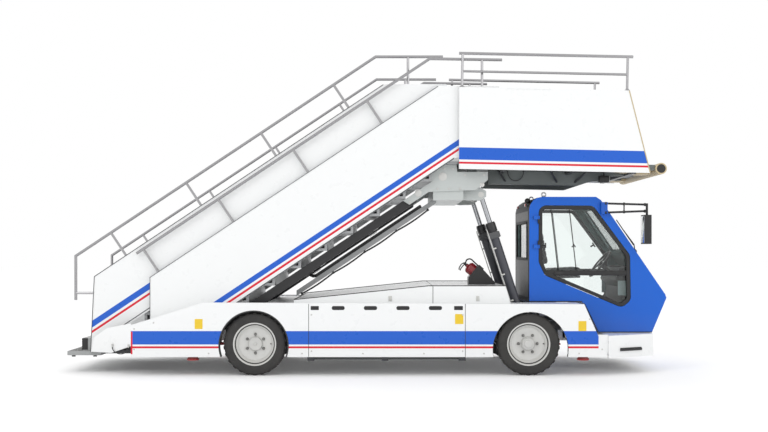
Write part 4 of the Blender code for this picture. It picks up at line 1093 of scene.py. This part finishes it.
bracing = bmesh.new()
for x0, x1 in ((2.250, 2.120), (2.420, 2.560), (1.640, 1.500)):
    tube(bracing, ((x0, -0.450, 2.2250), (x1, -0.650, 2.3780)), 0.013, 10)
    tube(bracing, ((x0, 0.450, 2.2250), (x1, 0.650, 2.3780)), 0.013, 10)
for x in (1.560, 2.350, 3.050):
    brick(bracing, (x - 0.025, -0.880, 2.3350), (x + 0.025, 0.880, 2.3800), 0.003, 1)
bracing.transform(tilt)
put("platform_bracing", bracing, frame_paint, "platform", 35)

lamp = bmesh.new()
brick(lamp, (2.700, -0.660, 2.245), (2.820, -0.560, 2.325), 0.014, 3)
tube(lamp, ((2.760, -0.610, 2.320), (2.760, -0.610, 2.372)), 0.010, 10)
lamp.transform(tilt)
put("work_lamp", lamp, vent_black, "platform", 35)
lens = bmesh.new()
brick(lens, (2.819, -0.650, 2.255), (2.824, -0.570, 2.315), 0.002, 2)
lens.transform(tilt)
lamp_glass = Look("lamp_glass", Coat_Weight=0.8)
lamp_glass.bump((lamp_glass.y * 400.0) % 5.0, 0.001, 0.5)
lens_material = lamp_glass.finish(lamp_glass.mix(lamp_glass.noise(60.0) * 0.5, (0.70, 0.72, 0.72), (0.40, 0.42, 0.43)), 0.08)
put("work_lamp_lens", lens, lens_material, "platform", 35)

loops = bmesh.new()
held, caught = tilt @ Vector((1.640, -0.515, 2.366)), tilt @ Vector((1.830, -0.515, 2.366))
for point in (held, caught):
    brick(loops, tuple(point - Vector((0.012, 0.012, 0.004))), tuple(point + Vector((0.012, 0.012, 0.016))), 0.003, 1)
far = tilt @ Vector((2.760, -0.600, 2.3660))
tube(loops, [caught + Vector((0, 0, 0.006)), tilt @ Vector((2.200, -0.515, 2.3720)), far], 0.0045, 8, 0.03)
put("platform_conduit", loops, hose_black, "platform", 60)
loop_of("platform_cable", hanging(held, caught, 0.115), 0.009, "platform")


# Cab. A folded and welded steel cab in gloss blue with black rubber seals, a large screen and a rear window.
# A lifting eye, a round beacon and a small red lamp stand on the roof's rear edge.
cab_blue = Look("cab_blue", Coat_Roughness=0.06, Specular_IOR_Level=0.30)
cab_blue.bump(cab_blue.noise(260.0, 2.0) + cab_blue.noise(3.5, 2.0) * 3.0, 0.0006, 0.12)
middle = (2.45, 1.20)
outside = cab_blue.ahead * (cab_blue.x - middle[0]) + cab_blue.outward * cab_blue.y + cab_blue.up * (cab_blue.z - middle[1]) > 0.0
rear_wall = (cab_blue.ahead < -0.30) * (cab_blue.x < 2.02)
cab_shade = cab_blue.mix(cab_blue.noise(0.8, 3.0) * 0.35, (0.002, 0.118, 0.600), (0.002, 0.070, 0.420))
cab_shade = cab_blue.mix(cab_blue.noise(4.0, 5.0) * (1.0 - cab_blue.z.ramp(0.45, 0.75)) * 0.12, cab_shade, (0.16, 0.17, 0.20))
lining = cab_blue.mix(cab_blue.noise(5.0, 4.0) * 0.4, (0.150, 0.235, 0.225), (0.095, 0.150, 0.148))
cab_shade = cab_blue.mix(outside, lining, cab_shade)
cab_shade = cab_blue.mix(rear_wall * outside, cab_shade, (0.022, 0.024, 0.032))
plain = (1.0 - outside).most(rear_wall)
cab_blue.feed(cab_blue.shader.inputs["Coat Weight"], (1.0 - plain) * 0.22)
cab_paint = cab_blue.finish(cab_shade, cab_blue.noise(8.0, 4.0) * 0.10 + plain * 0.35 + 0.16)
dress(cab_paint, "cab_shell")

glass = Look("safety_glass", Transmission_Weight=1.0, IOR=1.45)
glass_material = glass.finish(glass.mix(glass.noise(1.5, 2.0) * 0.3, (0.95, 0.98, 0.97), (0.88, 0.94, 0.93)), glass.noise(6.0, 3.0) * 0.02 + 0.01)
dress(glass_material, "windscreen", "rear_window", "door_glass_right", "door_glass_left")

seal = bmesh.new()
screen_top, screen_foot = Vector((2.774, 0, 1.930)), Vector((3.122, 0, 1.420))
down = (screen_foot - screen_top).normalized()
out = Vector((down.z, 0, -down.x)) * -1.0
half = 0.560
corners = [end + Vector((0, y, 0)) for end, y in ((screen_top, -half), (screen_top, half), (screen_foot, half), (screen_foot, -half))]
path = corners + [corners[0], corners[0] + (corners[1] - corners[0]) * 0.02]
tube(seal, [p + out * 0.002 for p in path], 0.012, 8)
put("screen_seal", seal, rubber, "chassis", 60)

rear_seal = bmesh.new()
x = 1.8815
corners = [(x, -0.452, 1.318), (x, 0.452, 1.318), (x, 0.452, 1.747), (x, -0.452, 1.747), (x, -0.452, 1.318), (x, -0.440, 1.318)]
tube(rear_seal, corners, 0.011, 8, 0.03)
put("rear_window_seal", rear_seal, rubber, "chassis", 60)

rear_panel = bmesh.new()
near = 1.8795
for low, high in (((-0.560, 0.860), (0.560, 1.292)), ((-0.560, 1.772), (0.560, 1.880))):
    outline = rounded(low, high, 0.030)
    slab(rear_panel, outline, near, near + 0.0035, "yz", 0.001, 1)
put("cab_back_mats", rear_panel, vent_black, "chassis", 35)

door_outline = ((1.996, 1.279), (1.996, 1.940), (2.629, 1.936), (3.059, 1.358), (3.068, 0.834), (2.969, 0.748), (2.066, 1.127))


def inset(outline, distance):
    """The outline with every side moved inwards."""
    moved = []
    count = len(outline)
    for i in range(count):
        before, here, after = (Vector(outline[(i + k) % count]) for k in (-1, 0, 1))
        first, second = (here - before).normalized(), (after - here).normalized()
        normal = Vector((first.y, -first.x)) + Vector((second.y, -second.x))
        moved.append(tuple(here + normal / (1 + first.dot(second)) * distance))
    return moved


def frame_ring(bm, outline, width, near, far):
    """A flat closed ring between an outline and its inset."""
    inner = inset(outline, width)
    part = bmesh.new()
    rings = [[part.verts.new((x, depth, z)) for x, z in line] for line, depth in ((outline, near), (outline, far), (inner, far), (inner, near))]
    count = len(outline)
    for first, second in zip(rings, rings[1:] + rings[:1]):
        for i in range(count):
            j = (i + 1) % count
            part.faces.new((first[i], first[j], second[j], second[i]))
    bmesh.ops.recalc_face_normals(part, faces=part.faces)
    bmesh.ops.bevel(part, geom=part.edges[:], offset=0.0015, segments=1, profile=0.5, affect="EDGES", clamp_overlap=True)
    merge(bm, part)


def round_off(outline, radius, steps=6):
    """The arc that rounds each corner of an outline, corner by corner."""
    arcs = []
    count = len(outline)
    for i in range(count):
        before, here, after = (Vector(outline[(i + k) % count]) for k in (-1, 0, 1))
        back, ahead = (before - here).normalized(), (after - here).normalized()
        half_angle = back.angle(ahead) / 2
        reach = min(radius / math.tan(half_angle), 0.45 * (before - here).length, 0.45 * (after - here).length)
        turn = reach * math.tan(half_angle)
        centre = here + (back + ahead).normalized() * turn / math.sin(half_angle)
        start, end = here + back * reach - centre, here + ahead * reach - centre
        arcs.append([tuple(centre + start.lerp(end, k / steps).normalized() * turn) for k in range(steps + 1)])
    return arcs


latch_black = plastic("latch_black", (0.014, 0.014, 0.015), 0.32, 700.0)
door_edge = [point for arc in round_off(door_outline, 0.085) for point in arc]
opening = inset(door_outline, -0.005)
for side, sign in SIDES:
    body = f"door_{side}"
    ring = bmesh.new()
    frame_ring(ring, door_edge, 0.040, *both(sign, 0.6000, 0.6400))
    near, far = both(sign, 0.6020, 0.6380)
    brick(ring, (2.080, near, 1.122), (3.040, far, 1.176), 0.003, 2)
    for low, high in ((1.4805, 1.530), (1.730, 1.780)):
        lathe(ring, ((0, low), (0.012, low), (0.012, high), (0, high)), Matrix.Translation((1.990, sign * 0.656, 0)), 20)
        near, far = both(sign, 0.630, 0.664)
        brick(ring, (1.998, near, low), (2.020, far, high), 0.002, 1)
    made = put(f"door_seal_{side}", ring, rubber, body, 35)
    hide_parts(f"door_{side}")

    corners = bmesh.new()
    for arc, corner in zip(round_off(opening, 0.090), opening):
        slab(corners, arc + [corner], *both(sign, 0.6000, 0.6400))
    put(f"door_corners_{side}", corners, cab_paint, "chassis", 35)

    panes = bmesh.new()
    near, far = both(sign, 0.6100, 0.6160)
    for x0, x1 in ((2.136, 2.217), (2.351, 2.432)):
        slab(panes, ((x0, 1.895), (x0 + 0.011, 1.895), (x1 + 0.011, 1.180), (x1, 1.180)), near, far, "xz", 0.001, 1)
    near, far = both(sign, 0.6080, 0.6400)
    slab(panes, ((2.060, 1.1725), (3.030, 1.1725), (3.030, 1.1785), (2.060, 1.1785)), near, far, "xz", 0.001, 1)
    put(f"sliding_pane_frame_{side}", panes, rubber, body, 35)

    latches = bmesh.new()
    for x, z, lean in ((2.062, 1.474, 0), (2.629, 1.474, -32)):
        hung = Matrix.Translation((x, 0, z)) @ Matrix.Rotation(math.radians(lean), 4, "Y")
        near, far = both(sign, 0.6000, 0.6300)
        brick(latches, (-0.028, near, -0.008), (0.012, far, 0.008), 0.003, 2, hung)
        near, far = both(sign, 0.6150, 0.6360)
        brick(latches, (0.006, near, -0.031), (0.020, far, 0.031), 0.005, 2, hung)
    near, far = both(sign, 0.6370, 0.6520)
    slab(latches, rounded((2.180, 1.130), (2.275, 1.166), 0.010), near, far, "xz", 0.003, 2)
    put(f"door_latches_{side}", latches, latch_black, body, 35)

roof = bmesh.new()
eye_turn = Matrix.Translation((2.069, -0.520, 2.075)) @ Matrix.Rotation(math.radians(90), 4, "X")
ring = [(0.024 + 0.0075 * math.cos(t), 0.0075 * math.sin(t)) for t in (2 * math.pi * k / 10 for k in range(10))]
lathe(roof, ring, eye_turn, 28)
lathe(roof, ((0, -0.0005), (0.020, -0.0005), (0.020, 0.006), (0.010, 0.012), (0.008, 0.022), (0, 0.022)), Matrix.Translation((2.069, -0.520, 2.044)), 20)
eye_turn = Matrix.Translation((2.069, 0.520, 2.075)) @ Matrix.Rotation(math.radians(90), 4, "X")
lathe(roof, ring, eye_turn, 28)
lathe(roof, ((0, -0.0005), (0.020, -0.0005), (0.020, 0.006), (0.010, 0.012), (0.008, 0.022), (0, 0.022)), Matrix.Translation((2.069, 0.520, 2.044)), 20)
put("lifting_eyes", roof, zinc, "chassis", 35)

beacon = bmesh.new()
profile = [(0, -0.030), (0.016, -0.030), (0.016, -0.012)]
profile += [(0.034 * math.cos(t), 0.034 * math.sin(t)) for t in (math.radians(-50 + 140 * k / 12) for k in range(13))]
profile[-1] = (0, 0.034)
lathe(beacon, profile, Matrix.Translation((1.888, -0.440, 2.003)), 28)
brick(beacon, (1.872, -0.462, 1.930), (1.8825, -0.418, 1.990), 0.002, 1)
put("beacon", beacon, vent_black, "chassis", 45)
lens = bmesh.new()
brick(lens, (1.8660, -0.400, 1.942), (1.8825, -0.330, 1.972), 0.005, 2)
brick(lens, (1.8660, 0.330, 1.942), (1.8825, 0.400, 1.972), 0.005, 2)
put("cab_rear_lamps", lens, lamp_lens, "chassis", 45)

wiper = bmesh.new()
pivot = Vector((3.150, -0.500, 1.405)) + out * 0.004
elbow = Vector((3.115, -0.520, 1.470)) + out * 0.028
tip = Vector((2.990, -0.535, 1.640)) + out * 0.024
tube(wiper, (pivot, elbow, tip), 0.007, 8)
tube(wiper, (tip - down * 0.150, tip, tip + down * 0.210), 0.006, 8)
post = Matrix.Translation(pivot) @ out.to_track_quat("Z", "Y").to_matrix().to_4x4()
lathe(wiper, ((0, -0.030), (0.026, -0.030), (0.026, 0.010), (0.014, 0.020), (0, 0.020)), post, 20)
put("wiper", wiper, latch_black, "chassis", 45)

# Painted shadow: thin black rubber-finished strips under the cab's lower edges, at the rear and round the nose, stand
# for the shadow in the joint between the cab and the chassis.
foot_shadow = bmesh.new()
for side, sign in SIDES:
    near, far = both(sign, 0.6385, 0.6425)
    slab(foot_shadow, ((2.705, 0.4530), (3.318, 0.4530), (3.322, 0.4640), (2.700, 0.4640)), near, far)
    slab(foot_shadow, ((1.8825, 0.8100), (2.500, 0.8100), (2.500, 0.8220), (1.8825, 0.8220)), near, far)
slab(foot_shadow, ((3.3180, 0.4530), (3.3210, 0.4530), (3.3250, 0.4640), (3.3215, 0.4640)), -0.640, 0.640)
put("cab_foot_seal", foot_shadow, rubber, "chassis")

front_lamps = bmesh.new()
nose_a, nose_b = Vector((3.490, 0, 0.860)), Vector((3.319, 0, 0.452))
nose_dir = (nose_a - nose_b).normalized()
nose_out = Vector((nose_dir.z, 0, -nose_dir.x))
lamp_lenses = bmesh.new()
for y in (-0.450, 0.450):
    centre = nose_b + (nose_a - nose_b) * 0.55 + Vector((0, y, 0)) - nose_out * 0.004
    turn = Matrix.Translation(centre) @ nose_out.to_track_quat("Z", "Y").to_matrix().to_4x4()
    lathe(front_lamps, ((0, 0.0), (0.082, 0.0), (0.082, 0.008), (0.076, 0.012), (0.070, 0.010), (0.068, 0.004), (0, 0.004)), turn, 40)
    lathe(lamp_lenses, ((0, 0.0045), (0.0675, 0.0045), (0.0660, 0.009), (0.040, 0.0125), (0, 0.0135)), turn, 40)
put("head_lamp_bezels", front_lamps, vent_black, "chassis", 35)
put("head_lamps", lamp_lenses, lens_material, "chassis", 35)


# Mirror. Black tube arms clamp to the right-hand pillar and carry a tall moulded head with its glass facing back.
mirror_look = Look("mirror_paint")
mirror_look.bump(mirror_look.noise(600.0, 2.0), 0.0004, 0.3)
mirror_shade = mirror_look.mix(mirror_look.x < 2.7902, (0.014, 0.014, 0.015), (0.002, 0.090, 0.480))
dress(mirror_look.finish(mirror_shade, mirror_look.noise(20.0) * 0.15 + 0.25), "mirror")
mirror_glass = steel("mirror_glass", (0.88, 0.90, 0.91), 0.03)
head = bmesh.new()
brick(head, (3.1660, -0.880, 1.502), (3.1705, -0.730, 1.812), 0.002, 2)
put("mirror_glass", head, mirror_glass, "chassis", 35)
collars = bmesh.new()
for z_near, z_far in ((1.965, 1.945), (1.857, 1.871)):
    for t in (0.045, 0.470, 0.955):
        centre = Vector((2.750 + 0.470 * t, -0.675 - 0.125 * t, z_near + (z_far - z_near) * t))
        turn = Matrix.Translation(centre) @ Vector((0.470, -0.125, z_far - z_near)).to_track_quat("Z", "Y").to_matrix().to_4x4()
        lathe(collars, ((0, -0.011), (0.0165, -0.011), (0.0180, -0.008), (0.0180, 0.008), (0.0165, 0.011), (0, 0.011)), turn, 16)
tube(collars, ((2.971, -0.7338, 1.957), (2.971, -0.7338, 1.863)), 0.008, 10)
put("mirror_clamps", collars, latch_black, "chassis", 35)


# Driver's place. A padded vinyl seat with sewn flutes, a moulded console with a pale panel, and a thick-rimmed wheel.
vinyl = Look("seat_vinyl_black")
grain = vinyl.node("TexVoronoi", {"feature": "DISTANCE_TO_EDGE"}, Vector=vinyl.place, Scale=420.0)
vinyl.bump(Value(vinyl, grain["Distance"]).ramp(0.0, 0.25), 0.0006, 0.6)
seat_vinyl = vinyl.finish(vinyl.mix(vinyl.noise(9.0, 4.0) * 0.5, (0.020, 0.020, 0.022), (0.045, 0.044, 0.044)), vinyl.noise(40.0, 3.0) * 0.15 + 0.42)
base = bmesh.new()
slab(base, ((2.150, 0.8500), (2.420, 0.8500), (2.390, 1.070), (2.180, 1.070)), -0.150, 0.150, "xz", 0.010, 2)
slab(base, ((2.090, 1.072), (2.560, 1.084), (2.560, 1.110), (2.090, 1.108)), -0.220, 0.220, "xz", 0.008, 2)
slab(base, ((2.055, 1.109), (2.085, 1.109), (2.055, 1.290), (2.030, 1.625), (1.998, 1.640), (2.005, 1.420)), -0.215, 0.215, "xz", 0.008, 2)
for y in (-0.190, 0.190):
    tube(base, ((2.130, y, 0.862), (2.460, y, 0.862)), 0.011, 10)
seat_frame = put("seat_frame", base, frame_paint, "chassis", 35)
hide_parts("seat")


def evaluated_copy(made):
    """The object's mesh with its modifiers taken in, and the modifiers gone."""
    done = bpy.data.meshes.new_from_object(made.evaluated_get(bpy.context.evaluated_depsgraph_get()))
    made.modifiers.clear()
    made.data = done


def cushion(name, length, width, low, high, place, channels):
    """A pad blown up by cloth pressure, then drawn in along its sewn channels; its underside stays flat."""
    bm = bmesh.new()
    brick(bm, (-length + 0.006, -width + 0.006, low), (length - 0.006, width - 0.006, high - 0.012), 0.016, 3)
    bmesh.ops.recalc_face_normals(bm, faces=bm.faces)
    mesh = bpy.data.meshes.new(name)
    bm.to_mesh(mesh)
    bm.free()
    made = bpy.data.objects.new(name, mesh)
    bpy.context.scene.collection.objects.link(made)
    remesh = made.modifiers.new("skin", "REMESH")
    remesh.mode = "VOXEL"
    remesh.voxel_size = 0.006
    evaluated_copy(made)
    before = [v.co.copy() for v in made.data.vertices]
    cloth = made.modifiers.new("filling", "CLOTH")
    cloth.settings.quality = 4
    cloth.settings.use_pressure = True
    cloth.settings.uniform_pressure_force = 4.0
    cloth.settings.effector_weights.gravity = 0.0
    for step in range(1, 21):
        bpy.context.scene.frame_set(step)
    evaluated_copy(made)
    bpy.context.scene.frame_set(1)
    for vertex, start in zip(made.data.vertices, before):
        swell = vertex.co - start
        swell *= min(1.0, 0.012 / max(swell.length, 1e-9))
        top = max(0.0, min(1.0, (start.z - low) / (high - low)))
        vertex.co = start + Vector((swell.x, swell.y, swell.z * (top > 0.3)))
        groove = sum(math.exp(-(((start.x / length) - c) / 0.030) ** 2) for c in channels)
        piping = math.exp(-((start.z - high + 0.020) / 0.004) ** 2) * (top > 0.3)
        vertex.co.z -= 0.009 * groove * (top > 0.6)
        vertex.co.x *= 1 + 0.012 * piping
        vertex.co.y *= 1 + 0.010 * piping
    finer = made.modifiers.new("finer", "SUBSURF")
    finer.levels = finer.render_levels = 1
    evaluated_copy(made)
    made.data.transform(place)
    made.data.materials.clear()
    made.data.materials.append(seat_vinyl)
    made.data.shade_smooth()
    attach(made, "chassis")


channels = (-0.5, -0.17, 0.17, 0.5)
cushion("seat_cushion", 0.200, 0.228, -0.042, 0.048, Matrix.Translation((2.375, 0, 1.158)) @ Matrix.Rotation(math.radians(-3), 4, "Y"), channels)
cushion("seat_back", 0.205, 0.222, -0.036, 0.045, Matrix.Translation((2.098, 0, 1.440)) @ Matrix.Rotation(math.radians(80), 4, "Y"), channels)

console = plastic("console_black", (0.030, 0.031, 0.033), 0.55, 500.0)
dress(console, "dashboard")
panel_teal = coat("panel_teal", (0.42, 0.53, 0.54), amount=0.1)
panel = bmesh.new()
brick(panel, (2.960, -0.470, 0.880), (3.180, -0.4515, 1.055), 0.006, 2)
brick(panel, (2.960, 0.4515, 0.880), (3.180, 0.470, 1.055), 0.006, 2)
put("console_side_panels", panel, panel_teal, "chassis", 35)
dials = bmesh.new()
face_dir = (Vector((3.190, 0, 1.160)) - Vector((3.090, 0, 1.230))).normalized()
for k in range(5):
    y = -0.240 + 0.120 * k
    turn = Matrix.Translation((3.035, y, 1.2125)) @ Vector((-0.26, 0, 0.96)).to_track_quat("Z", "Y").to_matrix().to_4x4()
    lathe(dials, ((0, 0.0), (0.030, 0.0), (0.030, 0.008), (0.026, 0.010), (0.025, 0.006), (0, 0.006)), turn, 24)
put("console_dials", dials, vent_black, "chassis", 35)
dress(latch_black, "steering_wheel")


# Fire extinguisher. A dark red cylinder strapped in a black cradle on the engine cover, with its valve,
# squeeze handles and a short hose clipped to its side.
bottle_red = Look("bottle_red", Coat_Weight=0.5, Coat_Roughness=0.1)
bottle_red.bump(bottle_red.noise(120.0, 2.0), 0.0004, 0.2)
bottle_paint = bottle_red.finish(bottle_red.mix(bottle_red.noise(6.0, 4.0) * 0.3, (0.25, 0.008, 0.016), (0.13, 0.005, 0.010)), bottle_red.noise(10.0) * 0.15 + 0.25)
dress(latch_black, "extinguisher_holder")
base, top = Vector((1.360, -0.350, 1.080)), Vector((1.115, -0.350, 1.285))
up = (top - base).normalized()
forward = Vector((0, 1, 0)).cross(up)
stand = Matrix((forward, Vector((0, 1, 0)), up)).transposed().to_4x4()
stand.translation = base
bottle = bmesh.new()
profile = [(0, 0.001), (0.060, 0.001), (0.068, 0.004), (0.0715, 0.010), (0.0715, 0.196)]
profile += [(0.024 + 0.0475 * math.cos(t), 0.196 + 0.040 * math.sin(t)) for t in (math.radians(15 * k) for k in range(1, 7))]
profile += [(0.022, 0.246), (0.022, 0.250), (0, 0.250)]
lathe(bottle, profile, stand, 44)
made = put("bottle", bottle, bottle_paint, "chassis", 40)
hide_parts("fire_extinguisher")
valve = bmesh.new()
lathe(valve, ((0, 0.249), (0.020, 0.249), (0.020, 0.258), (0.014, 0.262), (0.014, 0.285), (0.010, 0.290), (0, 0.290)), stand, 20)
for lift, spread in ((0.272, 0.010), (0.288, 0.034)):
    tube(valve, [stand @ Vector(p) for p in ((0.004, 0, lift), (-0.030, 0, lift + spread * 0.5), (-0.085, 0, lift + spread * 0.2), (-0.100, 0, lift - 0.006))], 0.0065, 8, 0.02)
lathe(valve, ((0, -0.007), (0.016, -0.007), (0.016, 0.007), (0, 0.007)), stand @ Matrix.Translation((0, 0.018, 0.272)) @ Matrix.Rotation(math.radians(90), 4, "X"), 20)
put("extinguisher_valve", valve, latch_black, "chassis", 45)
hose = bmesh.new()
route = ((0.010, 0, 0.274), (0.052, -0.006, 0.292), (0.090, -0.012, 0.262), (0.0850, -0.014, 0.180), (0.0825, -0.014, 0.120))
tube(hose, [stand @ Vector(p) for p in route], 0.0085, 10, 0.045)
lathe(hose, ((0, 0.062), (0.012, 0.062), (0.015, 0.130), (0.011, 0.136), (0, 0.136)), stand @ Matrix.Translation((0.0870, -0.014, 0)), 16)
put("extinguisher_hose", hose, hose_black, "chassis", 60)
straps = bmesh.new()
lathe(straps, ((0.0717, 0.118), (0.0740, 0.118), (0.0740, 0.138), (0.0717, 0.138)), stand, 40)
put("extinguisher_strap", straps, latch_black, "chassis", 35)
